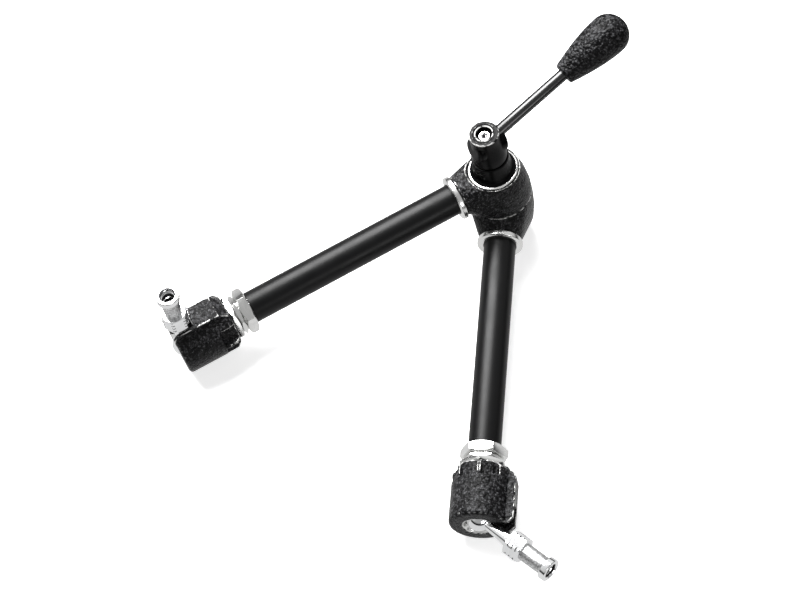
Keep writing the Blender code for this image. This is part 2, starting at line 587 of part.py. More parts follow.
def ball_housing(side, holder, start):
    """The housing along +Z: a ribbed collar, a round body and a slotted pad that faces +X."""
    slope = HOUSING_RADIUS - COLLAR_RADIUS - 0.4 * MM
    fillet = HOUSING_END_FILLET
    name = side + "_ball_housing"
    part = new_object(name, turned(name, [
        (0, start), (COLLAR_RADIUS + 0.4 * MM, start), (HOUSING_RADIUS, start + slope)]
        + arc((HOUSING_RADIUS - fillet, HOUSING_END - fillet), fillet, 0, 90, 3)
        + [(0, HOUSING_END)], FINE), holder)

    # The pad is drawn in its side view, with a 45 degree shoulder towards the collar
    pad_rise = PAD_HEIGHT - COLLAR_RADIUS - 1 * MM
    pad_start = start + 1 * MM
    side_view = [(pad_start, 0), (pad_start, COLLAR_RADIUS + 1 * MM), (pad_start + pad_rise, PAD_HEIGHT)]
    side_view += [(HOUSING_END - fillet, PAD_HEIGHT), (HOUSING_END, PAD_HEIGHT - fillet), (HOUSING_END, 0)]
    pad = extruded("pad", side_view, -PAD_WIDTH / 2, PAD_WIDTH / 2)
    # Outline x runs along the housing, outline y out to the pad
    stand = Matrix(((0, 1, 0, 0), (0, 0, 1, 0), (1, 0, 0, 0), (0, 0, 0, 1)))
    combine(part, "UNION", pad, stand)

    # Pockets all round, except beside the pad's shoulder
    for i in range(1, COLLAR_RIBS - 1):
        pocket = extruded("pocket", pocket_outline(), start - 1 * MM, start + COLLAR_POCKET_LENGTH)
        combine(part, "DIFFERENCE", pocket, turn(2 * math.pi * i / COLLAR_RIBS, "Z"))

    # Inside: the threaded bore, the cup's chamber, the ball's seat and the open mouth
    hollow = BALL_RADIUS + SEAT_GAP
    stub_end = FITTING_STUB_END + SEAT_GAP
    lip = math.degrees(math.asin(SEAT_LIP_RADIUS / hollow))
    seat = [(BALL_RADIUS + RUNNING_GAP, BALL_REACH)]
    seat += [(y, BALL_REACH + x) for x, y in arc((0, 0), hollow, 78, lip, 3)]
    chamber = turned("chamber", [(0, start - 1 * MM), (FITTING_STUB_RADIUS + SEAT_GAP, start - 1 * MM),
                                 (FITTING_STUB_RADIUS + SEAT_GAP, stub_end), (hollow, stub_end)] + seat
                     + [(MOUTH_RADIUS, HOUSING_END), (MOUTH_RADIUS, HOUSING_END + 1 * MM),
                        (0, HOUSING_END + 1 * MM)], FINE)
    combine(part, "DIFFERENCE", chamber)

    # The slot lets the neck swing from straight ahead to past a right angle on the pad's side
    half_width = NECK_END_RADIUS + 2 * RUNNING_GAP
    lean = STUD_TILT_LIMIT - math.pi / 2
    back_low = BALL_REACH - half_width / math.cos(lean) + 0.6 * MM
    back_high = back_low - 2 * PAD_HEIGHT * math.tan(lean)
    slot = [(back_low, 0), (HOUSING_END + 1 * MM, 0), (HOUSING_END + 1 * MM, 2 * PAD_HEIGHT),
            (back_high, 2 * PAD_HEIGHT)]
    combine(part, "DIFFERENCE", extruded("slot", slot, -half_width, half_width), stand)
    return part


def ball_stud(side, holder):
    """Ball, tapered neck, hexagon and grooved spigot, turned from one bar along +Z from the ball."""
    name = side + "_ball_stud"
    ball_top = math.degrees(math.acos(NECK_RADIUS / BALL_RADIUS))
    ball = arc((0, 0), BALL_RADIUS, -90, ball_top, 8)
    hex_end = STUD_HEX_START + STUD_HEX_LENGTH
    flange = STUD_LENGTH - SPIGOT_FLANGE
    bore_chamfer = 0.8 * MM
    part = new_object(name, turned(name, [(0, -BALL_RADIUS)] + ball[1:] + [
        (NECK_END_RADIUS, STUD_HEX_START + 0.5 * MM), (SPIGOT_GROOVE_RADIUS, STUD_HEX_START + 0.5 * MM),
        (SPIGOT_GROOVE_RADIUS, flange - SPIGOT_CHAMFER),
        (SPIGOT_RADIUS, flange), (SPIGOT_RADIUS, STUD_LENGTH - SPIGOT_CHAMFER),
        (SPIGOT_RADIUS - SPIGOT_CHAMFER, STUD_LENGTH),
        (SPIGOT_BORE_RADIUS + bore_chamfer, STUD_LENGTH), (SPIGOT_BORE_RADIUS, STUD_LENGTH - bore_chamfer),
        (SPIGOT_BORE_RADIUS, STUD_LENGTH - SPIGOT_BORE_DEPTH),
        (0, STUD_LENGTH - SPIGOT_BORE_DEPTH - 2 * MM)], MEDIUM), holder)
    grip = chamfered_hexagon("grip", None, STUD_HEX_ACROSS, STUD_HEX_START, hex_end)
    mesh = grip.data
    bpy.data.objects.remove(grip)
    combine(part, "UNION", mesh)
    return part


def build_arm(side, axis, pad_roll, stud_tilt, finishes):
    """One tube with all that it carries. The axis frame's +Z runs along the tube, +X to the pad."""
    tube_parts(side, axis, finishes)
    push_parts(side, axis, finishes)
    housing_start = end_fittings(side, axis, finishes)
    turning = frame(side + "_housing_frame", axis, turn(pad_roll, "Z"))
    finished(ball_housing(side, turning, housing_start), finishes["crackle_black"])
    tilting = frame(side + "_stud_frame", turning, shift(z=BALL_REACH) @ turn(stud_tilt, "Y"))
    finished(ball_stud(side, tilting), finishes["chrome"])


def resting_pose(contacts):
    """The turn that brings a plane under three round edges, given as (centre, axis, radius), to level."""
    normal = UP.copy()
    for _ in range(30):
        points = []
        for centre, axis, radius in contacts:
            across = normal - normal.dot(axis) * axis
            points.append(centre - radius * across.normalized())
        normal = (points[1] - points[0]).cross(points[2] - points[0]).normalized()
        if normal.z < 0:
            normal.negate()
    return normal.rotation_difference(UP).to_matrix().to_4x4()


def lay_on_ground(arm, upper_axis, lower_axis):
    """Rests the arm on its base cap and both housings, over the origin."""
    bpy.context.view_layer.update()
    contacts = [(Vector((0, 0, -LOWER_BOSS_TOP - BASE_CAP_STANDS)), UP.copy(), BASE_CAP_RADIUS - 1.0 * MM)]
    for axis in (upper_axis, lower_axis):
        place = axis.matrix_world
        contacts.append((place @ Vector((0, 0, HOUSING_END - HOUSING_END_FILLET)),
                         (place.to_3x3() @ UP).normalized(), HOUSING_RADIUS))
    arm.matrix_world = resting_pose(contacts)
    bpy.context.view_layer.update()
    corners = [part.matrix_world @ vertex.co for part in bpy.data.objects if part.type == "MESH"
               for vertex in part.data.vertices]
    low = Vector([min(corner[i] for corner in corners) for i in range(3)])
    high = Vector([max(corner[i] for corner in corners) for i in range(3)])
    middle = (low + high) / 2
    arm.matrix_world = Matrix.Translation((-middle.x, -middle.y, -low.z)) @ arm.matrix_world
    bpy.context.view_layer.update()


def main():
    for leftover in list(bpy.data.objects):
        bpy.data.objects.remove(leftover)

    finishes = {
        "crackle_black": material("crackle_black", (0.022, 0.022, 0.024), 0.55, 0.0),
        "grained_black": material("grained_black", (0.018, 0.018, 0.019), 0.5, 0.0),
        "satin_black": material("satin_black", (0.016, 0.016, 0.017), 0.3, 0.2),
        "nickel": material("nickel", (0.78, 0.78, 0.77), 0.22, 1.0),
        "chrome": material("chrome", (0.86, 0.87, 0.88), 0.08, 1.0),
        "steel": material("steel", (0.5, 0.5, 0.52), 0.35, 1.0),
        "brass": material("brass", (0.68, 0.5, 0.24), 0.35, 1.0),
        "friction_brown": material("friction_brown", (0.16, 0.1, 0.06), 0.8, 0.0),
        "guide_white": material("guide_white", (0.75, 0.74, 0.7), 0.5, 0.0),
    }

    arm = frame("arm_frame", None, Matrix.Identity(4))
    lower_heading = -math.pi / 2
    upper_heading = lower_heading - INCLUDED_ANGLE
    upper = frame("upper_frame", arm, turn(upper_heading, "Z"))
    lower = frame("lower_frame", arm, turn(lower_heading, "Z"))
    lever = frame("lever_frame", upper, turn(LEVER_DIRECTION - upper_heading, "Z"))
    # A tube's frame has +Z along the tube and +X where the housing's pad faces: up on the upper arm,
    # and to the side on the lower arm
    upper_axis = frame("upper_axis", upper, shift(z=TUBE_AXIS_HEIGHT) @ ALONG_X @ turn(math.pi, "Z"))
    lower_axis = frame("lower_axis", lower, shift(z=-TUBE_AXIS_HEIGHT) @ ALONG_X @ turn(math.pi / 2, "Z"))

    build_elbow(arm, upper, lower, finishes)
    build_clamp(arm, finishes)
    build_lever(lever, finishes)
    build_arm("upper", upper_axis, 0.0, UPPER_STUD_TILT, finishes)
    build_arm("lower", lower_axis, LOWER_PAD_ROLL, LOWER_STUD_TILT, finishes)
    lay_on_ground(arm, upper_axis, lower_axis)


main()
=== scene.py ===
"""Dresses a jointed friction arm: castings, tubes, nuts, lever and ball studs, on a white studio floor."""

import json
import math
from functools import cache

import bmesh
import bpy
import numpy as np
from bpy.props import FloatProperty, FloatVectorProperty, IntProperty, PointerProperty
from mathutils import Matrix, Vector


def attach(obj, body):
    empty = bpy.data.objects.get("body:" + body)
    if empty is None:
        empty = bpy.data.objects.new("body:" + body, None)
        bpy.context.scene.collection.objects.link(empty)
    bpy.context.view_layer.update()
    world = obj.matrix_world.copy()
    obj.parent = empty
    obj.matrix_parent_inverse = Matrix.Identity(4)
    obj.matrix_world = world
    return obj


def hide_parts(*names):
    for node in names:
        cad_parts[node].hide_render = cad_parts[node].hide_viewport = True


bl_info = {
    "name": "Friction Arm Dressing",
    "version": (1, 0, 0),
    "blender": (4, 5, 0),
    "location": "3D View > Sidebar > Friction Arm",
    "description": "Builds the visible pieces and finishes of a jointed friction arm",
    "category": "Add Mesh",
}

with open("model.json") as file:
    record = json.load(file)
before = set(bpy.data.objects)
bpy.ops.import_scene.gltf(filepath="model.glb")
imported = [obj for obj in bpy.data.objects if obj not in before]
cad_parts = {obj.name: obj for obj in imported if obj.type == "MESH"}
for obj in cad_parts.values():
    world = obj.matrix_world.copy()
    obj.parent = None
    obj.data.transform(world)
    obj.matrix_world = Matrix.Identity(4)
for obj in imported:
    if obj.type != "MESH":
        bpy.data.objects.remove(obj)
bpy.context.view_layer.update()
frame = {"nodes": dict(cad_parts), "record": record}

MM = 0.001
HERE = Matrix.Identity(4)
ALONG_X = Matrix.Rotation(math.pi / 2, 4, "Y")
SIDES = ("upper", "lower")
WHITE = (1, 1, 1, 1)
JOINTS = {joint["name"]: joint for joint in frame["record"]["behaviour"]["joints"]}

# Hidden inner sizes: radii, but for a depth either side of the split, a height and a length
WELL_RADIUS = 10.4 * MM
ROD_CHANNEL = 4.3 * MM
DISC_INNER, DISC_OUTER, DISC_DEPTH = 12.7 * MM, 20.5 * MM, 1.1 * MM
RIM_BORE, BOSS_BORE, FOOT_BORE = 12 * MM, 9.3 * MM, 11.8 * MM
CLAMP_NUT_WELL, CLAMP_NUT_TOP = 7.3 * MM, 55.3 * MM
ROD_HOLE, PLUG_RADIUS, PLUG_LENGTH = 4.4 * MM, 8.7 * MM, 15 * MM

# Roughness, depth of the orange peel, edge wear with its painted highlight, and specular level of each paint
PAINTS = {"tube_paint": (0.36, 0.00003, 0.3, 0.22), "lever_paint": (0.28, 0.00004, 0.6, 0.08),
          "rod_lacquer": (0.22, 0.00002, 0.3, 0.8)}
# Material name, tone, metallic and roughness of the stock inside, and of the painted shade in the sockets
INNER_STOCK_AND_SHADE = {
    "steel": ("turned_steel", (0.5, 0.5, 0.52), 1.0, 0.35),
    # A dark lining painted as shade inside the sockets
    "recess_painted_shade": ("recess_painted_shade", (0.03, 0.03, 0.032), 1.0, 0.4),
    "brass": ("turned_brass", (0.68, 0.5, 0.24), 1.0, 0.3),
    "lining": ("friction_lining", (0.16, 0.1, 0.06), 0.0, 0.8),
    "guide": ("moulded_guide", (0.75, 0.74, 0.7), 0.0, 0.5)}

# The camera's place and turn follow from a fit to the photograph
CAMERA_PLACE, CAMERA_TURN = (0.069733, -0.878585, 1.542207), (30.6132, -0.5884, 4.8787)
KEY_PLACE, FILL_PLACE = (-0.54, 0.7, 1.14), (0.75, -1.1, 0.5)

# How finely the castings are rebuilt, and how edges are rounded and found
KNUCKLE_GRAIN, HUB_GRAIN, HOUSING_GRAIN = 0.42 * MM, 0.3 * MM, 0.4 * MM
CASTING_FILLET, NUT_BEVEL, STUD_BEVEL = 2.0 * MM, 0.18 * MM, 0.26 * MM
MERGED = 1e-6
KNOB_STEPS = 24
LEVELLING_ROUNDS = 4
EDGE_PERCENTILE = 97.5
GRAIN_DEPTH = 0.0008


# Sizes and colours

def size(name, text, millimetres):
    """A length that a user would change."""
    return FloatProperty(name=name, description=text, default=millimetres * MM, unit="LENGTH", precision=5)


def swing(name, text, degrees):
    """An angle that a user would change."""
    return FloatProperty(name=name, description=text, default=math.radians(degrees), subtype="ANGLE")


def level(name, text, value, **more):
    return FloatProperty(name=name, description=text, default=value, **more)


def colour(name, text, value):
    return FloatVectorProperty(name=name, description=text, default=value, size=3, subtype="COLOR",
                               min=0.0, max=1.0)


class ElbowSizes(bpy.types.PropertyGroup):
    """The two castings of the elbow."""
    gap: size("Gap", "Gap between pieces that touch", 0.3)
    radius: size("Radius", "Radius of both castings at the split between them", 22.8)
    rim: size("Rim", "Height of the straight rim at the split", 6.0)
    upper_shoulder: size("Upper shoulder", "Radius of the upper casting's shoulder", 18.9)
    lower_shoulder: size("Lower shoulder", "Radius of the lower casting's shoulder", 20.4)
    height: size("Lower height", "Height of the lower casting from the split", 30.6)
    crown: size("Upper height", "Height of the upper casting above the split", 29.4)
    boss_seat: size("Upper boss seat", "Height of the recess that the upper boss stands in", 27.8)
    socket_radius: size("Socket radius", "Outer radius of the tube sockets", 14.3)
    socket_end: size("Socket end", "Distance from the pivot to a socket's end", 29.0)
    tube_height: size("Tube height", "Height of the tube axes above and below the split", 18.5)
    boss_base: size("Upper boss foot", "Radius of the bright rim at the upper boss's foot", 17.4)
    boss_waist: size("Upper boss waist", "Radius of the upper boss above its rim", 13.7)
    boss_top: size("Upper boss top", "Radius of the upper boss under the lever hub", 12.9)
    boss_height: size("Upper boss height", "Height of the upper boss's top above the split", 44.5)
    foot_base: size("Lower boss foot", "Radius of the lower boss where it meets the casting", 16.4)
    foot_top: size("Lower boss end", "Radius of the lower boss at its end", 15.0)
    foot_height: size("Lower boss height", "Depth of the lower boss's end under the split", 37.0)
    cap_radius: size("Base cap radius", "Radius of the cap under the elbow", 11.5)
    cap_stands: size("Base cap stands", "How far the cap stands out of the lower boss", 3.5)


class LeverSizes(bpy.types.PropertyGroup):
    """The locking lever."""
    direction: swing("Direction", "Where the lever points, seen along the pivot", 40)
    slope: swing("Slope", "How far the rod rises from the hub", 12)
    hub_top: size("Hub top", "Height of the hub's end face above the split", 71.5)
    hub_radius: size("Hub radius", "Radius of the hub at its end face", 10.4)
    hub_foot: size("Hub foot radius", "Radius of the hub at its foot", 12.2)
    recess_radius: size("Recess radius", "Radius of the recess round the screw", 5.6)
    recess_depth: size("Recess depth", "Depth of the recess round the screw", 5.4)
    screw_radius: size("Screw radius", "Radius of the screw's head", 3.9)
    screw_height: size("Screw height", "Height of the screw's head", 2.6)
    screw_socket: size("Screw socket", "Size of the screw's hexagonal socket across its flats", 4.2)
    cross_height: size("Cross boss height", "Height of the cross boss's axis above the split", 58.5)
    cross_radius: size("Cross boss radius", "Radius of the cross boss", 9.4)
    cross_tilt: swing("Cross boss tilt", "How far the cross boss dips to the knob", 12)
    cross_front: size("Cross boss front", "Reach of the cross boss towards the knob", 11.8)
    cross_back: size("Cross boss back", "Reach of the cross boss away from the knob", 11.2)
    rod_height: size("Rod height", "Height where the rod's axis meets the pivot", 60.8)
    rod_radius: size("Rod radius", "Radius of the rod", 4.1)
    rod_start: size("Rod start", "Distance from the pivot to the rod's inner end", 3.6)
    knob_start: size("Knob start", "Distance from the pivot to the knob's base", 69.0)
    knob_length: size("Knob length", "Length of the knob", 54.0)
    knob_base: size("Knob base radius", "Radius of the knob's base", 7.6)
    knob_radius: size("Knob radius", "Largest radius of the knob", 14.2)
    knob_bore: size("Knob bore", "Depth of the rod in the knob", 26.0)


class TubeSizes(bpy.types.PropertyGroup):
    """Tubes, collar rings, fittings and nuts, which are alike on both arms."""
    radius: size("Tube radius", "Outer radius of the tubes", 11.0)
    wall: size("Tube wall", "Wall of the tubes", 2.0)
    start: size("Tube start", "Distance from the pivot to a tube's inner end", 17.0)
    end: size("Tube end", "Distance from the pivot to a tube's outer end", 189.7)
    ring_radius: size("Ring radius", "Radius of the collar rings", 15.8)
    ring_width: size("Ring width", "Width of the collar rings", 4.0)
    fitting_across: size("Fitting across flats", "Size of the fitting's hexagon across its flats", 28.0)
    fitting_width: size("Fitting width", "Width of the fitting's hexagon", 7.2)
    stub_radius: size("Stub radius", "Radius of the fitting's threaded stub", 10.6)
    stub_end: size("Stub end", "Distance from the pivot to the stub's end", 216.0)
    jam_across: size("Jam nut across flats", "Size of the jam nut across its flats", 24.5)
    jam_width: size("Jam nut width", "Width of the jam nut", 3.4)
    lock_across: size("Lock ring across flats", "Size of the lock ring across its flats", 29.2)
    lock_width: size("Lock ring width", "Width of the lock ring", 3.9)
    pitch: size("Thread pitch", "Pitch of the stub's thread", 1.0)


class HousingSizes(bpy.types.PropertyGroup):
    """The ball housings, which are alike on both arms."""
    end: size("Housing end", "Distance from the pivot to the housing's mouth", 246.0)
    radius: size("Housing radius", "Radius of the housing's body", 20.0)
    end_fillet: size("End fillet", "Rounding of the housing's mouth end", 3.2)
    collar_radius: size("Collar radius", "Radius of the collar's pockets", 16.4)
    pocket_length: size("Pocket length", "Length of the pockets between the ribs", 12.0)
    ribs: IntProperty(name="Ribs", description="Ribs round the collar", default=8, min=3, max=16)
    rib_width: size("Rib width", "Width of a collar rib", 2.4)
    pad_height: size("Pad height", "Height of the pad's face above the housing's axis", 23.3)
    pad_width: size("Pad width", "Width of the slotted pad", 17.4)
    mouth_radius: size("Mouth radius", "Radius of the mouth round the ball", 10.8)
    lip_radius: size("Lip radius", "Radius of the ball seat's lip", 8.2)
    slot_limit: swing("Slot limit", "Largest tilt that the slot allows", 100)
    slot_half: size("Slot half width", "Half of the slot's width", 6.2)
    mouth_foot: size("Mouth foot radius", "Radius of the mouth at its inner end", 9.1)
    mouth_depth: size("Mouth depth", "Depth of the mouth's wall", 3.6)
    seat_ring: size("Seat ring wall", "Wall of the bright ring that lines the mouth", 0.5)


class StudSizes(bpy.types.PropertyGroup):
    """The ball studs, which are alike on both arms."""
    ball: size("Ball radius", "Radius of the ball", 8.6)
    neck: size("Neck radius", "Radius of the neck at the ball", 3.6)
    neck_end: size("Neck end radius", "Radius of the neck at the hexagon", 5.6)
    hex_start: size("Hexagon start", "Distance from the ball's centre to the hexagon", 26.5)
    hex_length: size("Hexagon length", "Length of the hexagon", 12.5)
    hex_across: size("Hexagon across flats", "Size of the hexagon across its flats", 16.0)
    length: size("Length", "Distance from the ball's centre to the spigot's end", 61.0)
    spigot: size("Spigot radius", "Radius of the spigot's flange", 8.0)
    groove: size("Groove radius", "Radius of the groove in the spigot", 6.0)
    flange: size("Flange width", "Width of the spigot's flange", 4.6)
    bore: size("Socket radius", "Radius of the threaded socket in the spigot", 4.75)
    bore_depth: size("Socket depth", "Depth of the threaded socket", 12.0)
    pitch: size("Socket thread pitch", "Pitch of the socket's thread", 1.6)
    grooves: IntProperty(name="Corner grooves", description="Turned grooves across the hexagon's corners",
                         default=3, min=0, max=8)


class Finishes(bpy.types.PropertyGroup):
    """Colours of the arm's finishes."""
    enamel: colour("Enamel", "Crackle enamel on the castings", (0.0015, 0.0015, 0.0018))
    # Light grain tops: partly rubbed paint, partly painted glints
    rubbed_grain_and_glint: colour("Rubbed grain and painted glint", "Tops of the grain where it is rubbed lighter", (0.12, 0.12, 0.126))
    paint: colour("Paint", "Smooth black paint on the tubes and lever", (0.001, 0.001, 0.0012))
    grain: colour("Grained knob", "Grained plastic of the knob", (0.0015, 0.0015, 0.0018))
    nickel: colour("Nickel", "Bright plating on the rings and nuts", (0.84, 0.84, 0.83))
    chrome: colour("Chrome", "Chrome on the ball studs", (0.90, 0.905, 0.91))
    # Edge colour: partly bare metal where paint has worn off, partly a painted highlight along edges
    edge_wear_and_highlight: colour("Worn edge and painted highlight", "Bare metal where paint has worn off an edge", (0.6, 0.6, 0.59))


class StageSettings(bpy.types.PropertyGroup):
    """Floor, light and camera."""
    lens: level("Lens", "Focal length on a 36 mm sensor", 116.7, min=10.0)
    key: level("Key light", "Power of the large soft light", 58.0, unit="POWER")
    fill: level("Fill light", "Power of the low light in front", 3.0, unit="POWER")
    sky: level("Sky", "Strength of the light from all round", 0.09, min=0.0)
    floor_glow: level("Floor glow", "Light that the floor adds for the camera", 0.72, min=0.0)
    mirrored: level("Mirrored white", "Brightness of the studio in polished metal", 1.0, min=0.0)
    mirrored_front: level("Mirrored front", "Brightness of the studio behind the camera", 0.42, min=0.0)
    mirrored_dark: level("Mirrored dark", "Brightness of the dark band round the studio", 0.01, min=0.0)


# Places

def basis(x, z, origin):
    """A frame from its X and Z directions."""
    z = z.normalized()
    y = z.cross(x).normalized()
    return Matrix.Translation(origin) @ Matrix((y.cross(z), y, z)).transposed().to_4x4()


def axis(joint):
    return Vector(JOINTS[joint]["axis"]).normalized()


def centre(joint):
    return Vector(JOINTS[joint]["pos_m"])


def raised(z):
    return Matrix.Translation((0, 0, z))


def pivot_frame():
    """The elbow's frame: +Z along the pivot, -Y along the lower tube, and z = 0 at the split."""
    up = axis("elbow_pivot")
    return basis(up.cross(axis("lower_housing_turn")), up, centre("elbow_pivot"))


def tube_frame(side):
    """A tube's frame: +Z along the tube from the pivot, and +X where its pad faces before it is turned."""
    pivot = pivot_frame()
    up = pivot.to_3x3().col[2]
    along = axis(side + "_housing_turn")
    on_axis = centre(side + "_housing_turn")
    origin = on_axis + along * (pivot.translation - on_axis).dot(along)
    return basis(up if side == "upper" else up.cross(along), along, origin)


def housing_frame(side):
    """The tube's frame turned with the housing, so that +X is where the pad faces."""
    tube = tube_frame(side)
    along = tube.to_3x3().col[2]
    return basis(axis(side + "_ball_tilt").cross(along), along, tube.translation)


def stud_frame(side):
    """The stud's frame: +Z along the stud from the ball's centre. The angle is the hinge's at rest."""
    across = axis(side + "_ball_tilt")
    tilt = math.radians(-JOINTS[side + "_ball_tilt"]["range_deg"][0])
    direction = Matrix.Rotation(tilt, 3, across) @ axis(side + "_housing_turn")
    return basis(across.cross(direction), direction, centre(side + "_ball_tilt"))


def knuckle_frame(side):
    """A knuckle's frame: +X along its tube and +Z up for the upper one, or down for the lower one."""
    pivot = pivot_frame()
    up = pivot.to_3x3().col[2] * (1 if side == "upper" else -1)
    return basis(axis(side + "_housing_turn"), up, pivot.translation)


def lever_frame():
    return pivot_frame() @ Matrix.Rotation(bpy.context.scene.lever_sizes.direction, 4, "Z")


def rod_place():
    """The rod's place in the lever's frame: +Z along the rod from where its axis meets the pivot."""
    lever = bpy.context.scene.lever_sizes
    return raised(lever.rod_height) @ Matrix.Rotation(-lever.slope, 4, "Y") @ ALONG_X


# Shapes

def to_mesh(shape):
    bmesh.ops.remove_doubles(shape, verts=shape.verts, dist=MERGED)
    bmesh.ops.recalc_face_normals(shape, faces=shape.faces)
    return plain_mesh(shape)


def plain_mesh(shape):
    mesh = bpy.data.meshes.new("shape")
    shape.to_mesh(mesh)
    shape.free()
    return mesh


def rounded(corners, steps):
    """An outline with its corners rounded: each is (radius, z) or (radius, z, fillet in millimetres)."""
    points = []
    for i, corner in enumerate(corners):
        here = Vector(corner[:2])
        if len(corner) < 3:
            points.append(tuple(here))
            continue
        before = Vector(corners[i - 1][:2]) - here
        after = Vector(corners[(i + 1) % len(corners)][:2]) - here
        reach = min(corner[2] * MM, before.length * 0.49, after.length * 0.49)
        start = here + before.normalized() * reach
        end = here + after.normalized() * reach
        for k in range(steps + 1):
            t = k / steps
            points.append(tuple(start * (1 - t) ** 2 + here * 2 * t * (1 - t) + end * t ** 2))
    return points


def turned(profile, facets=96):
    """A solid of revolution about Z from a closed outline of (radius, z) points."""
    shape = bmesh.new()
    points = [shape.verts.new((radius, 0, z)) for radius, z in profile]
    edges = [shape.edges.new((a, b)) for a, b in zip(points, points[1:] + points[:1])]
    bmesh.ops.spin(shape, geom=points + edges, cent=(0, 0, 0), axis=(0, 0, 1), dvec=(0, 0, 0),
                   angle=2 * math.pi, steps=facets)
    bmesh.ops.remove_doubles(shape, verts=shape.verts, dist=MERGED)
    on_axis = [edge for edge in shape.edges if all(v.co.xy.length < 1e-7 for v in edge.verts)]
    bmesh.ops.delete(shape, geom=on_axis, context="EDGES_FACES")
    return to_mesh(shape)


def lathe(corners, steps=5, facets=128):
    return turned(rounded(corners, steps), facets)


def bore(radius, bottom, top, facets=96):
    return turned([(0, bottom), (radius, bottom), (radius, top), (0, top)], facets)


def extruded(outline, bottom, top):
    shape = bmesh.new()
    face = shape.faces.new([shape.verts.new((x, y, bottom)) for x, y in outline])
    grown_face = bmesh.ops.extrude_face_region(shape, geom=[face])
    risen = [item for item in grown_face["geom"] if isinstance(item, bmesh.types.BMVert)]
    bmesh.ops.translate(shape, verts=risen, vec=(0, 0, top - bottom))
    return to_mesh(shape)


def arc(middle, radius, start, end, steps):
    turns = [math.radians(start + (end - start) * i / steps) for i in range(steps + 1)]
    return [(middle[0] + radius * math.cos(t), middle[1] + radius * math.sin(t)) for t in turns]


def hexagon(across):
    corner = across / math.sqrt(3)
    turns = [math.radians(60 * i) for i in range(6)]
    return [(corner * math.cos(t), corner * math.sin(t)) for t in turns]


def linked(name, data):
    """A new object for a mesh, light or camera, in the scene."""
    item = bpy.data.objects.new(name, data)
    bpy.context.scene.collection.objects.link(item)
    return item


def evaluated(part):
    bpy.context.view_layer.update()
    graph = bpy.context.evaluated_depsgraph_get()
    return bpy.data.meshes.new_from_object(part.evaluated_get(graph))


def modified(mesh, *modifiers):
    """A mesh with modifiers applied. Each is its kind and its settings."""
    part = linked("blank", mesh)
    for kind, settings in modifiers:
        step = part.modifiers.new(kind.lower(), kind)
        for key, value in settings.items():
            setattr(step, key, value)
    result = evaluated(part)
    bpy.data.objects.remove(part)
    return result


def cut(mesh, place=HERE):
    return "DIFFERENCE", mesh, place


def join(mesh, place=HERE):
    return "UNION", mesh, place


def keep(mesh, place=HERE):
    return "INTERSECT", mesh, place


def shaped(mesh, *steps):
    """Applies Boolean steps, which cut, join and keep give, to a mesh."""
    modifiers = []
    for operation, tool_mesh, place in steps:
        tool = linked("tool", tool_mesh)
        tool.matrix_world = place
        modifiers.append(("BOOLEAN", {"operation": operation, "solver": "EXACT", "object": tool}))
    result = modified(mesh, *modifiers)
    for _, settings in modifiers:
        bpy.data.objects.remove(settings["object"])
    return result


def cast(mesh, grain):
    """Rebuilds a mesh as an even casting skin, with every edge and corner softened."""
    return modified(mesh, ("REMESH", {"mode": "VOXEL", "voxel_size": grain}),
                    ("SMOOTH", {"factor": 0.5, "iterations": 3}))


def softened(mesh, width):
    """Breaks the sharp edges of a machined piece with a small bevel."""
    return modified(mesh, ("BEVEL", {"width": width, "segments": 2, "limit_method": "ANGLE",
                                     "angle_limit": math.radians(24)}))


def read(items, key, width, kind=np.float64):
    """A property of every point or edge, one row each."""
    values = np.empty(len(items) * width, dtype=kind)
    items.foreach_get(key, values)
    return values.reshape(-1, width)


def store(mesh, name, values):
    """Keeps one number for each point of the mesh."""
    layer = mesh.attributes.new(name, "FLOAT", "POINT")
    layer.data.foreach_set("value", np.asarray(values, dtype=np.float32))


def mark_edges(mesh, above=None, spared=None):
    """Stores how far each point stands out from its neighbours, for wear and polish on edges.

    Points that aren't above the height given keep no wear. Points in the spared span of heights keep a
    fifth of it.
    """
    co = read(mesh.vertices, "co", 3)
    normal = read(mesh.vertices, "normal", 3)
    ends = read(mesh.edges, "vertices", 2, np.int64)
    degree = np.bincount(ends.ravel(), minlength=len(co)).astype(float)[:, None]
    level = co.copy()
    for _ in range(LEVELLING_ROUNDS):
        total = np.zeros_like(co)
        np.add.at(total, ends[:, 0], level[ends[:, 1]])
        np.add.at(total, ends[:, 1], level[ends[:, 0]])
        level = total / np.maximum(degree, 1)
    stands = ((co - level) * normal).sum(axis=1)
    edge = np.clip(stands / np.percentile(stands, EDGE_PERCENTILE), 0, 1)
    if above is not None:
        edge[co[:, 2] < above] = 0
    if spared is not None:
        edge[(co[:, 2] > spared[0]) & (co[:, 2] < spared[1])] *= 0.2
    store(mesh, "edge", edge)


def mark_without_wear_and_highlight(mesh):
    store(mesh, "edge", np.zeros(len(mesh.vertices)))


def mark_turning(mesh):
    """Stores the distance along and out from the turning axis, which is the mesh's Z."""
    co = read(mesh.vertices, "co", 3)
    store(mesh, "along", co[:, 2])
    store(mesh, "out", np.hypot(co[:, 0], co[:, 1]))


def piece(name, mesh, place, body, finish, replaces=None, crease=30):
    """Puts a finished mesh in the scene, with its place in the mesh, on the body it moves with."""
    mesh.name = name
    mark_turning(mesh)
    mesh.transform(place)
    mesh.materials.clear()
    mesh.materials.append(material(finish))
    part = linked(name, mesh)
    mesh.shade_smooth()
    mesh.set_sharp_from_angle(angle=math.radians(crease))
    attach(part, body)
    if replaces:
        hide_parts(replaces)


# Node trees

def feed(tree, made, values):
    """Fills a node's inputs from values or from other sockets."""
    for key, value in values.items():
        if isinstance(value, bpy.types.NodeSocket):
            tree.links.new(value, made.inputs[key])
        else:
            made.inputs[key].default_value = value


def node(tree, kind, values=None, **settings):
    """Adds a node, sets its settings and fills its inputs."""
    made = tree.nodes.new(kind)
    for key, value in settings.items():
        setattr(made, key, value)
    feed(tree, made, values or {})
    return made


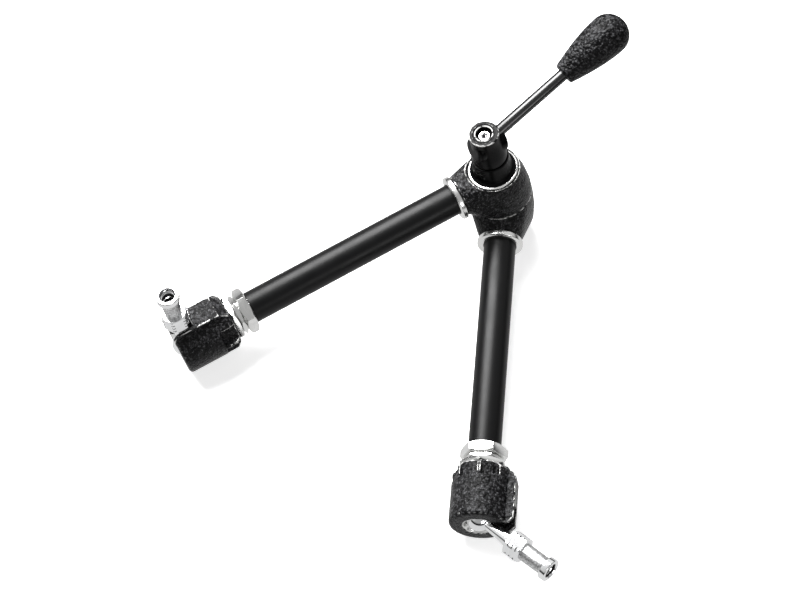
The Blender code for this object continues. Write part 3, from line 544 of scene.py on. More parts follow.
def new_tree(kind, name, inputs, outputs):
    """Starts a node tree with sockets by name, each a default value or a kind of socket.

    Returns the tree, its input sockets and its output node.
    """
    tree = bpy.data.node_groups.new(name, kind)
    for way, sockets in (("INPUT", inputs), ("OUTPUT", outputs)):
        for label, value in sockets.items():
            socket_kind = value if isinstance(value, str) else {int: "Int", float: "Float"}[type(value)]
            socket = tree.interface.new_socket(name=label, in_out=way,
                                               socket_type="NodeSocket" + socket_kind)
            if socket_kind != value:
                socket.default_value = value
    return tree, tree.nodes.new("NodeGroupInput").outputs, tree.nodes.new("NodeGroupOutput")


def ramp(tree, source, low, high, to_low=0.0, to_high=1.0):
    return node(tree, "ShaderNodeMapRange", {"Value": source, "From Min": low, "From Max": high,
                                             "To Min": to_low, "To Max": to_high}).outputs["Result"]


def maths(tree, operation, first, second):
    return node(tree, "ShaderNodeMath", {0: first, 1: second}, operation=operation).outputs[0]


def product(tree, first, second):
    return maths(tree, "MULTIPLY", first, second)


def noise(tree, place, scale, detail, **more):
    values = {"Vector": place, "Scale": scale, "Detail": detail, **more}
    return node(tree, "ShaderNodeTexNoise", values).outputs["Fac"]


def first_channel(tree, colour_socket):
    return node(tree, "ShaderNodeSeparateColor", {"Color": colour_socket}).outputs[0]


def attribute(tree, name):
    return node(tree, "ShaderNodeAttribute", attribute_name=name).outputs["Fac"]


def mixed_shaders(tree, share, first, second):
    return node(tree, "ShaderNodeMixShader", {0: share, 1: first.outputs[0], 2: second.outputs[0]})


@cache
def crackle_group():
    """Raised cells of crackle enamel, broken up by a finer grain."""
    tree, given, out = new_tree("ShaderNodeTree", "Crackle enamel",
                                {"Vector": "Vector", "Scale": 900.0, "Fineness": 0.35},
                                {"Height": "Float", "Rubbed and glinting tops": "Float"})
    bend = node(tree, "ShaderNodeTexNoise", {"Vector": given["Vector"], "Scale": 420.0, "Detail": 2.0})
    pushed = node(tree, "ShaderNodeVectorMath", {0: bend.outputs["Color"], 1: (0.0016, 0.0016, 0.0016)},
                  operation="MULTIPLY").outputs[0]
    place = node(tree, "ShaderNodeVectorMath", {0: given["Vector"], 1: pushed}, operation="ADD").outputs[0]
    cells = node(tree, "ShaderNodeTexVoronoi", {"Vector": place, "Scale": given["Scale"]},
                 feature="SMOOTH_F1").outputs
    domes = ramp(tree, cells["Distance"], 0.15, 0.75, 1.0, 0.0)
    fine = noise(tree, place, product(tree, given["Scale"], 2.6), 3.0, Roughness=0.6)
    height = node(tree, "ShaderNodeMix", {0: given["Fineness"], 2: domes, 3: fine}).outputs[0]
    # Some of the cells are lighter on top, partly rubbed and partly painted glints
    chance = first_channel(tree, cells["Color"])
    rubbed_and_glinting = product(tree, ramp(tree, chance, 0.2, 0.6), ramp(tree, fine, 0.4, 0.58))
    tops = product(tree, rubbed_and_glinting, ramp(tree, cells["Distance"], 0.25, 0.6, 1.0, 0.0))
    feed(tree, out, {"Height": height, "Rubbed and glinting tops": tops})
    return tree


@cache
def wear_and_highlight_group():
    """A mask of worn edges from the stored edge value, broken up so that it isn't an even line."""
    tree, given, out = new_tree("ShaderNodeTree", "Edge wear and painted highlight",
                                {"Vector": "Vector", "Edge": 0.0, "Amount": 0.5, "Scale": 260.0},
                                {"Mask": "Float"})
    patches = noise(tree, given["Vector"], given["Scale"], 5.0, Roughness=0.65)
    broken = product(tree, given["Edge"], ramp(tree, patches, 0.38, 0.62, 0.25, 1.35))
    start = maths(tree, "SUBTRACT", 1.0, given["Amount"])
    feed(tree, out, {"Mask": ramp(tree, broken, start, maths(tree, "ADD", start, 0.25))})
    return tree


@cache
def turning_group():
    """Fine rings left by the lathe, from the distances along and out from the axis."""
    tree, given, out = new_tree("ShaderNodeTree", "Turning marks",
                                {"Along": 0.0, "Out": 0.0, "Pitch": 0.0004}, {"Height": "Float"})
    place = node(tree, "ShaderNodeCombineXYZ", {"X": given["Along"], "Y": given["Out"]}).outputs[0]
    scale = maths(tree, "DIVIDE", 1.0, given["Pitch"])
    feed(tree, out, {"Height": noise(tree, place, scale, 3.0, Roughness=0.7)})
    return tree


@cache
def smudge_group():
    """Handling marks: a slow variation with fine dust in it."""
    tree, given, out = new_tree("ShaderNodeTree", "Smudges and dust", {"Vector": "Vector", "Scale": 60.0},
                                {"Smudge": "Float", "Dust": "Float"})
    slow = noise(tree, given["Vector"], given["Scale"], 4.0, Roughness=0.6, Distortion=0.6)
    specks = node(tree, "ShaderNodeTexVoronoi", {"Vector": given["Vector"], "Scale": 700.0}).outputs
    chosen = maths(tree, "GREATER_THAN", first_channel(tree, specks["Color"]), 0.93)
    dust = product(tree, ramp(tree, specks["Distance"], 0.02, 0.06, 1.0, 0.0), chosen)
    feed(tree, out, {"Smudge": ramp(tree, slow, 0.3, 0.7), "Dust": dust})
    return tree


def effect(tree, shared_group, **values):
    """Places a shared effect in a material and returns its outputs."""
    return node(tree, "ShaderNodeGroup", values, node_tree=shared_group()).outputs


def start_material(name, metallic, **plain):
    """A material with a bare Principled shader. Returns it with its tree, shader and coordinates."""
    made = bpy.data.materials.new(name)
    made.use_nodes = True
    tree = made.node_tree
    shader = tree.nodes["Principled BSDF"]
    shader.inputs["Metallic"].default_value = metallic
    for key, value in plain.items():
        shader.inputs[key.replace("_", " ")].default_value = value
    return made, tree, shader, node(tree, "ShaderNodeTexCoord").outputs["Object"]


def finish_surface(tree, shader, colour_socket, roughness, height, depth, **more):
    """Feeds a shader its colour and roughness, and a bump from a height and its depth."""
    raised_surface = node(tree, "ShaderNodeBump", {"Height": height, "Distance": depth, "Strength": 1.0})
    feed(tree, shader, {"Base Color": colour_socket, "Roughness": roughness,
                        "Normal": raised_surface.outputs["Normal"], **more})


def blend_colour(tree, mask, first, second):
    colours = [value if isinstance(value, bpy.types.NodeSocket) else (*value, 1.0)
               for value in (first, second)]
    return node(tree, "ShaderNodeMix", {0: mask, 6: colours[0], 7: colours[1]}, data_type="RGBA").outputs[2]


def dimmed(tone, share):
    return tuple(c * share for c in tone)


def enamel_material():
    """Black crackle enamel, rubbed bright where an edge stands out."""
    look = bpy.context.scene.arm_finishes
    made, tree, shader, place = start_material("crackle_enamel", 0.0, Specular_IOR_Level=0.13)
    crackle = effect(tree, crackle_group, Vector=place, Scale=640.0, Fineness=0.4)
    wear_and_highlight_mask = effect(tree, wear_and_highlight_group, Vector=place, Edge=attribute(tree, "edge"), Amount=0.62)["Mask"]
    smudge = effect(tree, smudge_group, Vector=place, Scale=45.0)["Smudge"]
    # Lighter grain tops: partly rubbed, partly painted glints
    paint = blend_colour(tree, crackle["Rubbed and glinting tops"], look.enamel, look.rubbed_grain_and_glint)
    finish_surface(tree, shader, blend_colour(tree, wear_and_highlight_mask, paint, look.edge_wear_and_highlight),
                   ramp(tree, smudge, 0.0, 1.0, 0.22, 0.32), crackle["Height"], GRAIN_DEPTH,
                   Metallic=product(tree, wear_and_highlight_mask, 0.8))
    return made


def paint_material(name, roughness, depth, edge_wear_and_highlight, specular):
    """Smooth black paint with a slight orange peel."""
    look = bpy.context.scene.arm_finishes
    made, tree, shader, place = start_material(name, 0.0, Specular_IOR_Level=specular)
    smudge = effect(tree, smudge_group, Vector=place, Scale=70.0)
    # Edges are partly worn and partly given a painted highlight
    wear_and_highlight_mask = effect(tree, wear_and_highlight_group, Vector=place, Edge=attribute(tree, "edge"), Amount=edge_wear_and_highlight)["Mask"]
    paint = blend_colour(tree, smudge["Dust"], look.paint, (0.12, 0.12, 0.12))
    finish_surface(tree, shader, blend_colour(tree, wear_and_highlight_mask, paint, look.edge_wear_and_highlight),
                   ramp(tree, smudge["Smudge"], 0.0, 1.0, roughness - 0.03, roughness + 0.06),
                   noise(tree, place, 1400.0, 3.0), depth)
    return made


def grain_material():
    """Leather-grained black plastic."""
    look = bpy.context.scene.arm_finishes
    made, tree, shader, place = start_material("grained_plastic", 0.0, Specular_IOR_Level=0.13)
    crackle = effect(tree, crackle_group, Vector=place, Scale=620.0, Fineness=0.2)
    smudge = effect(tree, smudge_group, Vector=place, Scale=55.0)["Smudge"]
    finish_surface(tree, shader, blend_colour(tree, crackle["Rubbed and glinting tops"], look.grain, look.rubbed_grain_and_glint),
                   ramp(tree, smudge, 0.0, 1.0, 0.3, 0.4), crackle["Height"], GRAIN_DEPTH)
    return made


def plated_material(name, tone, roughness, pitch, depth, dull=None):
    """Bright plating over turned steel, dull and grey in the span given along the axis."""
    made, tree, shader, place = start_material(name, 1.0)
    smudge = effect(tree, smudge_group, Vector=place, Scale=90.0)["Smudge"]
    turning = effect(tree, turning_group, Along=attribute(tree, "along"), Out=attribute(tree, "out"),
                     Pitch=pitch)["Height"]
    coat = blend_colour(tree, smudge, dimmed(tone, 0.86), tone)
    rough = ramp(tree, turning, 0.3, 0.7, roughness * 0.8, roughness * 1.3)
    if dull:
        start, end, radius = dull
        along = attribute(tree, "along")
        span = product(tree, maths(tree, "GREATER_THAN", along, start), maths(tree, "LESS_THAN", along, end))
        span = product(tree, span, maths(tree, "LESS_THAN", attribute(tree, "out"), radius))
        patches = ramp(tree, noise(tree, place, 900.0, 2.0), 0.4, 0.6, 0.35, 1.0)
        coat = blend_colour(tree, product(tree, span, patches), coat, dimmed(tone, 0.4))
        rough = maths(tree, "ADD", rough, product(tree, span, 0.25))
    finish_surface(tree, shader, coat, rough, turning, depth)
    return made


def inner_material(name, tone, metallic, roughness):
    """Plain turned or moulded stock for the pieces inside."""
    made, tree, shader, place = start_material(name, metallic)
    smudge = effect(tree, smudge_group, Vector=place, Scale=120.0)["Smudge"]
    finish_surface(tree, shader, blend_colour(tree, smudge, dimmed(tone, 0.85), tone),
                   ramp(tree, smudge, 0.0, 1.0, roughness * 0.8, roughness * 1.15),
                   noise(tree, place, 900.0, 4.0), 0.00004)
    return made


def groove_span():
    """Where the spigot's groove lies along the stud, and a radius just outside it."""
    stud = bpy.context.scene.stud_sizes
    return (stud.hex_start + stud.hex_length + 0.2 * MM, stud.length - stud.flange - 1.0 * MM,
            stud.groove + 0.3 * MM)


@cache
def material(name):
    """A finish by name, made when it is first needed."""
    look = bpy.context.scene.arm_finishes
    if name in PAINTS:
        return paint_material(name, *PAINTS[name])
    if name in INNER_STOCK_AND_SHADE:
        return inner_material(*INNER_STOCK_AND_SHADE[name])
    if name == "nickel":
        return plated_material("bright_nickel", look.nickel, 0.2, 0.0006, 0.00001)
    if name == "chrome":
        return plated_material("chrome_plate", look.chrome, 0.09, 0.0005, 0.000004, groove_span())
    return {"enamel": enamel_material, "grain": grain_material}[name]()


# Geometry node trees

def geometry_tree(name, inputs):
    return new_tree("GeometryNodeTree", name, {**inputs, "Material": "Material"}, {"Geometry": "Geometry"})


def end_tree(tree, geometry, given, out):
    real = node(tree, "GeometryNodeRealizeInstances", {"Geometry": geometry.outputs[0]})
    coated = node(tree, "GeometryNodeSetMaterial", {"Geometry": real.outputs[0],
                                                    "Material": given["Material"]})
    feed(tree, out, {"Geometry": coated.outputs[0]})
    return tree


def grown(tree, finish, **values):
    """Runs a geometry tree with the values given and returns its result as a plain mesh."""
    values["Material"] = material(finish)
    part = linked("grown", bpy.data.meshes.new("grown"))
    step = part.modifiers.new("tree", "NODES")
    step.node_group = tree
    for item in tree.interface.items_tree:
        if item.item_type == "SOCKET" and item.in_out == "INPUT" and item.name in values:
            step[item.identifier] = values[item.name]
    mesh = evaluated(part)
    part.modifiers.clear()
    bpy.data.objects.remove(part)
    return mesh


@cache
def rib_tree():
    """Ribs standing round a collar: a bar on a circle, once for each rib."""
    tree, given, out = geometry_tree("Collar ribs", {
        "Count": 8, "Radius": 0.018, "Width": 0.0024, "Height": 0.005, "Length": 0.012})
    shape = node(tree, "ShaderNodeCombineXYZ", {"X": given["Height"], "Y": given["Width"],
                                                "Z": given["Length"]})
    bar = node(tree, "GeometryNodeMeshCube", {"Size": shape.outputs[0]})
    circle = node(tree, "GeometryNodeMeshCircle", {"Vertices": given["Count"], "Radius": given["Radius"]})
    turn = maths(tree, "DIVIDE", node(tree, "GeometryNodeInputIndex").outputs[0], given["Count"])
    spin = node(tree, "ShaderNodeCombineXYZ", {"Z": product(tree, turn, 2 * math.pi)})
    ribs = node(tree, "GeometryNodeInstanceOnPoints", {
        "Points": circle.outputs[0], "Instance": bar.outputs[0], "Rotation": spin.outputs[0]})
    return end_tree(tree, ribs, given, out)


@cache
def thread_tree():
    """A thread's ridge: a small ridge swept along a helix."""
    tree, given, out = geometry_tree("Thread", {
        "Radius": 0.01, "Pitch": 0.001, "Length": 0.01, "Ridge": 0.0003})
    helix = node(tree, "GeometryNodeCurveSpiral", {
        "Resolution": 48, "Rotations": maths(tree, "DIVIDE", given["Length"], given["Pitch"]),
        "Start Radius": given["Radius"], "End Radius": given["Radius"], "Height": given["Length"]})
    ridge = node(tree, "GeometryNodeCurvePrimitiveCircle", {"Resolution": 4, "Radius": given["Ridge"]})
    swept = node(tree, "GeometryNodeCurveToMesh", {"Curve": helix.outputs[0],
                                                   "Profile Curve": ridge.outputs[0], "Fill Caps": True})
    return end_tree(tree, swept, given, out)


# Pieces

def casting_hull(elbow, shoulder, height):
    """A knuckle's tapering disc drawn out into its socket, along +X, above the split."""
    foot = height - CASTING_FILLET
    levels = [(elbow.radius - elbow.gap, elbow.gap / 2), (elbow.radius, elbow.gap * 1.5),
              (elbow.radius, elbow.rim), ((elbow.radius + shoulder) / 2 + 0.5 * MM, (elbow.rim + height) / 2)]
    levels += arc((shoulder - CASTING_FILLET, foot), CASTING_FILLET, 0, 90, 5)
    shape = bmesh.new()
    for radius, z in levels:
        bmesh.ops.create_circle(shape, segments=128, radius=radius, matrix=raised(z))
    for inset, reach in ((0.0, elbow.socket_end - 1.0 * MM), (1.0 * MM, elbow.socket_end)):
        bmesh.ops.create_circle(shape, segments=96, radius=elbow.socket_radius - inset,
                                matrix=Matrix.Translation((reach, 0, elbow.tube_height)) @ ALONG_X)
    hull = bmesh.ops.convex_hull(shape, input=shape.verts, use_existing_faces=False)
    inside = [item for item in hull["geom_interior"] if isinstance(item, bmesh.types.BMVert)]
    bmesh.ops.delete(shape, geom=inside, context="VERTS")
    loose = [edge for edge in shape.edges if not edge.link_faces]
    bmesh.ops.delete(shape, geom=loose, context="EDGES")
    return to_mesh(shape)


def build_knuckles():
    scene = bpy.context.scene
    elbow, tube = scene.elbow_sizes, scene.tube_sizes
    gap, seat, boss = elbow.gap, elbow.boss_seat, elbow.boss_base
    along_tube = raised(elbow.tube_height) @ ALONG_X
    for side in SIDES:
        upper = side == "upper"
        blank = casting_hull(elbow, elbow.upper_shoulder if upper else elbow.lower_shoulder,
                             elbow.crown if upper else elbow.height)
        steps = [
            cut(bore(WELL_RADIUS, -1 * MM, elbow.height + 1 * MM)),
            cut(bore(tube.radius + gap, tube.start - gap, elbow.socket_end + 1 * MM), along_tube),
            cut(bore(ROD_CHANNEL, 0, tube.start + 1 * MM, 48), along_tube),
            cut(turned([(DISC_INNER, -DISC_DEPTH), (DISC_OUTER, -DISC_DEPTH), (DISC_OUTER, DISC_DEPTH),
                        (DISC_INNER, DISC_DEPTH)]))]
        if upper:
            steps.append(cut(turned([
                (0, seat), (boss + 0.4 * MM, seat), (boss + 1.2 * MM, seat + 2.4 * MM),
                (boss + 1.8 * MM, seat + 6 * MM), (0, seat + 6 * MM)])))
        mesh = cast(shaped(blank, *steps), KNUCKLE_GRAIN)
        mark_edges(mesh)
        piece(side + "_casting", mesh, knuckle_frame(side), side + "_arm", "enamel", side + "_knuckle",
              crease=180)

    # The upper boss is smooth and flares to a thin rim; the lower one holds the base cap
    flare = boss - 1.3 * MM
    rim = lathe([(RIM_BORE, seat), (boss, seat, 0.2), (boss, seat + 1.4 * MM, 0.5),
                 (flare, seat + 1.8 * MM, 0.5), (RIM_BORE, seat + 1.8 * MM)])
    piece("upper_boss_rim", rim, knuckle_frame("upper"), "upper_arm", "nickel")
    top = elbow.boss_height
    smooth = lathe([
        (BOSS_BORE, seat + 0.2 * MM), (flare, seat + 0.2 * MM), (flare, seat + 2.2 * MM, 0.4),
        (elbow.boss_waist, seat + 3.6 * MM, 2.0), (elbow.boss_top + 0.2 * MM, top - 4 * MM, 4.0),
        (elbow.boss_top, top, 0.9), (BOSS_BORE, top, 0.3)], 6)
    mark_without_wear_and_highlight(smooth)
    piece("upper_boss", smooth, knuckle_frame("upper"), "upper_arm", "lever_paint")
    base, foot = elbow.height - 0.6 * MM, elbow.foot_height
    holder = lathe([(FOOT_BORE, base), (elbow.foot_base, base, 0.2), (elbow.foot_base, base + 1.4 * MM, 0.5),
                    (elbow.foot_top, foot, 1.0), (FOOT_BORE, foot, 0.4)])
    mark_edges(holder)
    piece("lower_boss", holder, knuckle_frame("lower"), "lower_arm", "enamel")
    face, dish = foot + elbow.cap_stands, elbow.cap_radius - 3 * MM
    cap = lathe([(0, foot - 1.5 * MM), (elbow.cap_radius, foot - 1.5 * MM, 0.2),
                 (elbow.cap_radius, face, 1.0), (dish, face, 0.3),
                 (elbow.cap_radius - 3.6 * MM, face - 0.6 * MM, 0.3), (0, face - 0.6 * MM)], 5, 96)
    mark_edges(cap)
    piece("base_plug", cap, knuckle_frame("lower"), "lower_arm", "grain", "base_cap")


def build_lever():
    scene = bpy.context.scene
    lever, elbow = scene.lever_sizes, scene.elbow_sizes
    gap, top, recess = elbow.gap, lever.hub_top, lever.recess_radius
    foot, floor = elbow.boss_height + gap, top - lever.recess_depth
    barrel = lathe([
        (0, foot), (lever.hub_foot, foot, 1.4), (lever.hub_foot, foot + 6 * MM, 5.0),
        (lever.hub_radius, lever.rod_height + 4 * MM, 5.0), (lever.hub_radius, top, 0.9),
        (recess + 2.3 * MM, top, 0.2), (recess + 1.9 * MM, top - 0.35 * MM, 0.2),
        (recess + 1.3 * MM, top - 0.35 * MM, 0.2), (recess + 0.9 * MM, top, 0.2), (recess, top, 0.5),
        (recess, floor), (0, floor)])
    cross = lathe([(0, -lever.cross_back), (lever.cross_radius, -lever.cross_back, 4.0),
                   (lever.cross_radius, lever.cross_front, 1.5), (0, lever.cross_front)], 5, 96)
    hub = shaped(
        barrel,
        join(cross, raised(lever.cross_height) @ Matrix.Rotation(lever.cross_tilt, 4, "Y") @ ALONG_X),
        cut(bore(CLAMP_NUT_WELL, foot - 1 * MM, CLAMP_NUT_TOP)),
        cut(bore(lever.rod_radius + gap, lever.rod_start, 30 * MM), rod_place()))
    hub = cast(hub, HUB_GRAIN)
    # Only the rim of the end face gets wear and its painted highlight
    mark_edges(hub, above=top - 1.5 * MM)
    piece("hub_shell", hub, lever_frame(), "lever", "lever_paint", "lever_hub", crease=180)

    seat = floor + gap
    head = seat + lever.screw_height
    screw = lathe([(0, seat - 10 * MM), (2 * MM, seat - 10 * MM), (2 * MM, seat),
                   (lever.screw_radius, seat, 0.2), (lever.screw_radius, head, 0.5), (0, head)], 4, 64)
    bottom = seat + 1.5 * MM
    socket = extruded(hexagon(lever.screw_socket), bottom, seat + 9 * MM)
    mouth = turned([(0, head - 0.4 * MM), (2.2 * MM, head - 0.4 * MM), (2.75 * MM, head + 0.15 * MM),
                    (0, head + 0.15 * MM)], 48)
    piece("cap_screw", shaped(screw, cut(socket), cut(mouth)), lever_frame(), "lever", "nickel", "hub_screw")
    # Dark walls inside the screw's hexagonal socket are painted shade
    shade_walls = extruded(hexagon(lever.screw_socket - 0.1 * MM), bottom + 0.05 * MM, head - 0.5 * MM)
    shade_walls = shaped(shade_walls, cut(bore(1.3 * MM, bottom - 1 * MM, seat + 9 * MM, 24)))
    piece("screw_socket_shade", shade_walls, lever_frame(), "lever", "recess_painted_shade")

    start, end = lever.rod_start + gap, lever.knob_start + lever.knob_bore - gap
    rod = lathe([(0, start), (lever.rod_radius, start, 0.4), (lever.rod_radius, end, 0.4), (0, end)], 3, 64)
    mark_without_wear_and_highlight(rod)
    rod_frame = lever_frame() @ rod_place()
    piece("rod_shaft", rod, rod_frame, "lever", "rod_lacquer", "lever_rod")

    belly = lever.knob_length - lever.knob_radius * 0.95
    turns = [math.pi / 2 * i / KNOB_STEPS for i in range(KNOB_STEPS)]
    swell = [(lever.knob_base + (lever.knob_radius - lever.knob_base) * math.sin(t), belly * i / KNOB_STEPS)
             for i, t in enumerate(turns)][1:]
    crown = [(lever.knob_radius * math.cos(t), belly + (lever.knob_length - belly) * math.sin(t))
             for t in turns]
    hole = lever.rod_radius + gap
    base = rounded([(0, lever.knob_bore), (hole, lever.knob_bore), (hole, 0, 0.5),
                    (lever.knob_base, 0, 0.9), swell[0]], 5)[:-1]
    knob = turned(base + swell + crown + [(0, lever.knob_length)], 128)
    piece("knob_grip", knob, rod_frame @ raised(lever.knob_start), "lever", "grain", "lever_knob")


def chamfered_nut(across, bottom, top, hole=0, turn=0.0):
    """A hexagonal nut with its corners turned off at both ends, round a hole."""
    corner = across / math.sqrt(3) + 0.15 * MM
    flat = across / 2 - 0.3 * MM
    drop = (corner - flat) * math.tan(math.radians(30))
    lens = lathe([(0, bottom), (flat, bottom, 0.3), (corner, bottom + drop, 0.3), (corner, top - drop, 0.3),
                  (flat, top, 0.3), (0, top)], 3, 96)
    blank = extruded(hexagon(across), bottom - 1 * MM, top + 1 * MM)
    blank.transform(Matrix.Rotation(turn, 4, "Z"))
    hollow = [cut(bore(hole, bottom - 2 * MM, top + 2 * MM))] if hole else []
    return shaped(blank, keep(lens), *hollow)


def build_tubes():
    scene = bpy.context.scene
    elbow, tube = scene.elbow_sizes, scene.tube_sizes
    inner, hole = tube.radius - tube.wall, tube.radius + elbow.gap
    low = elbow.socket_end + elbow.gap
    high = low + tube.ring_width
    for side in SIDES:
        pipe = lathe([(inner, tube.start), (tube.radius, tube.start), (tube.radius, tube.end, 0.4),
                      (inner, tube.end)], 3)
        mark_without_wear_and_highlight(pipe)
        piece(side + "_pipe", pipe, tube_frame(side), side + "_arm", "tube_paint", side + "_tube")
        ring = lathe([(hole, low), (tube.ring_radius, low, 0.6), (tube.ring_radius, high - 0.9 * MM, 0.5),
                      (tube.ring_radius - 1.5 * MM, high, 0.4), (hole, high, 0.3)], 4)
        piece(side + "_ring", ring, tube_frame(side), side + "_arm", "nickel", side + "_collar_ring")


def build_fittings():
    tube = bpy.context.scene.tube_sizes
    gap = bpy.context.scene.elbow_sizes.gap
    for side in SIDES:
        place, body = tube_frame(side), side + "_arm"
        low = tube.end + gap
        high = low + tube.fitting_width
        stub = tube.stub_radius - 0.35 * MM
        core = lathe([
            (ROD_HOLE, tube.end - PLUG_LENGTH), (PLUG_RADIUS, tube.end - PLUG_LENGTH),
            (PLUG_RADIUS, low + 1 * MM), (stub, low + 1 * MM), (stub, tube.stub_end, 0.8),
            (ROD_HOLE, tube.stub_end)], 3, 96)
        fitting = shaped(chamfered_nut(tube.fitting_across, low, high),
                         cut(bore(ROD_HOLE, low - 2 * MM, high + 2 * MM)), join(core))
        piece(side + "_fitting", softened(fitting, NUT_BEVEL), place, body, "nickel", side + "_tube_fitting")
        ridge = grown(thread_tree(), "nickel", Radius=stub, Pitch=tube.pitch,
                      Length=tube.stub_end - high - 1.5 * MM, Ridge=0.42 * MM)
        piece(side + "_stub_thread", ridge, place @ raised(high + 0.6 * MM), body, "nickel")
        low = high + gap
        for name, replaced, across, width, turn in (
                ("jam", "_jam_nut", tube.jam_across, tube.jam_width, 0.0),
                ("lock", "_lock_ring", tube.lock_across, tube.lock_width, math.radians(30))):
            nut = chamfered_nut(across, low, low + width, tube.stub_radius + gap, turn)
            piece(side + "_" + name, softened(nut, NUT_BEVEL), place, body, "nickel", side + replaced)
            low += width + gap


def build_housings():
    scene = bpy.context.scene
    tube, house, stud = scene.tube_sizes, scene.housing_sizes, scene.stud_sizes
    gap = scene.elbow_sizes.gap
    start = tube.end + tube.fitting_width + tube.jam_width + tube.lock_width + 4 * gap
    end, collar, radius, pad_top = house.end, house.collar_radius, house.radius, house.pad_height
    pocket_end = start + house.pocket_length
    # Outline x runs along the housing, outline y out to the pad
    stand = Matrix(((0, 1, 0, 0), (0, 0, 1, 0), (1, 0, 0, 0), (0, 0, 0, 1)))
    reach = (centre("lower_ball_tilt") - tube_frame("lower").translation).length
    for side in SIDES:
        body = lathe([(0, start), (collar, start, 0.3), (collar, pocket_end - 1.2 * MM), (radius, pocket_end),
                      (radius, end, house.end_fillet / MM), (0, end)], 6)
        shoulder = lathe([
            (0, start), (collar + 0.4 * MM, start, 0.3), (radius, start + (radius - collar) - 0.4 * MM, 0.6),
            (radius, pocket_end + 2 * MM), (0, pocket_end + 2 * MM)], 4)
        bars = grown(rib_tree(), "enamel", Count=house.ribs, Radius=radius - 3 * MM, Width=house.rib_width,
                     Height=10 * MM, Length=house.pocket_length + 4 * MM)
        bars.transform(raised(start + house.pocket_length / 2))
        ribs = shaped(bars, keep(shoulder))
        # Solid between the ribs that flank the pad
        wedge = math.degrees(2 * math.pi / house.ribs)
        flank = shaped(extruded([(0, 0)] + arc((0, 0), radius + 3 * MM, -wedge, wedge, 8), start,
                                pocket_end + 1 * MM), keep(shoulder.copy()))
        slant = start + 1 * MM
        pad = extruded([
            (slant, 0), (slant, collar + 1 * MM), (slant + (pad_top - collar - 1 * MM), pad_top),
            (end - house.end_fillet, pad_top), (end, pad_top - house.end_fillet), (end, 0)],
            -house.pad_width / 2, house.pad_width / 2)

        hollow, stub_hole, stub_end = stud.ball + gap, tube.stub_radius + gap, tube.stub_end + gap
        lip = math.degrees(math.asin(house.lip_radius / hollow))
        seat = [(hollow, reach)] + [(y, reach + x) for x, y in arc((0, 0), hollow, 78, lip, 6)]
        chamber = turned([(0, start - 1 * MM), (stub_hole, start - 1 * MM), (stub_hole, stub_end),
                          (hollow, stub_end)] + seat
                         + [(house.mouth_foot, end - house.mouth_depth), (house.mouth_radius, end),
                            (house.mouth_radius, end + 1 * MM), (0, end + 1 * MM)])
        lean = house.slot_limit - math.pi / 2
        back_low = reach - house.slot_half / math.cos(lean) + 0.6 * MM
        back_high = back_low - 2 * pad_top * math.tan(lean)
        slot = extruded([(back_low, 0), (end + 1 * MM, 0), (end + 1 * MM, 2 * pad_top),
                         (back_high, 2 * pad_top)], -house.slot_half, house.slot_half)
        mesh = cast(shaped(body, join(ribs), join(flank), join(pad, stand), cut(chamber),
                           cut(slot.copy(), stand)), HOUSING_GRAIN)
        mark_edges(mesh, spared=(pocket_end - 2.2 * MM, pocket_end + 0.9 * MM))
        piece(side + "_housing_casting", mesh, housing_frame(side), side + "_housing", "enamel",
              side + "_ball_housing", crease=180)
        # A bright ring lines the mouth, open where the slot is
        foot, lining = end - house.mouth_depth + 0.2 * MM, house.mouth_radius - 0.2 * MM
        ring = lathe([(house.mouth_foot, foot), (lining, end - 0.3 * MM),
                      (lining - house.seat_ring, end - 0.3 * MM, 0.15),
                      (house.mouth_foot - house.seat_ring, foot, 0.15)], 4, 96)
        piece(side + "_seat_ring", shaped(ring, cut(slot, stand)), housing_frame(side), side + "_housing",
              "nickel")


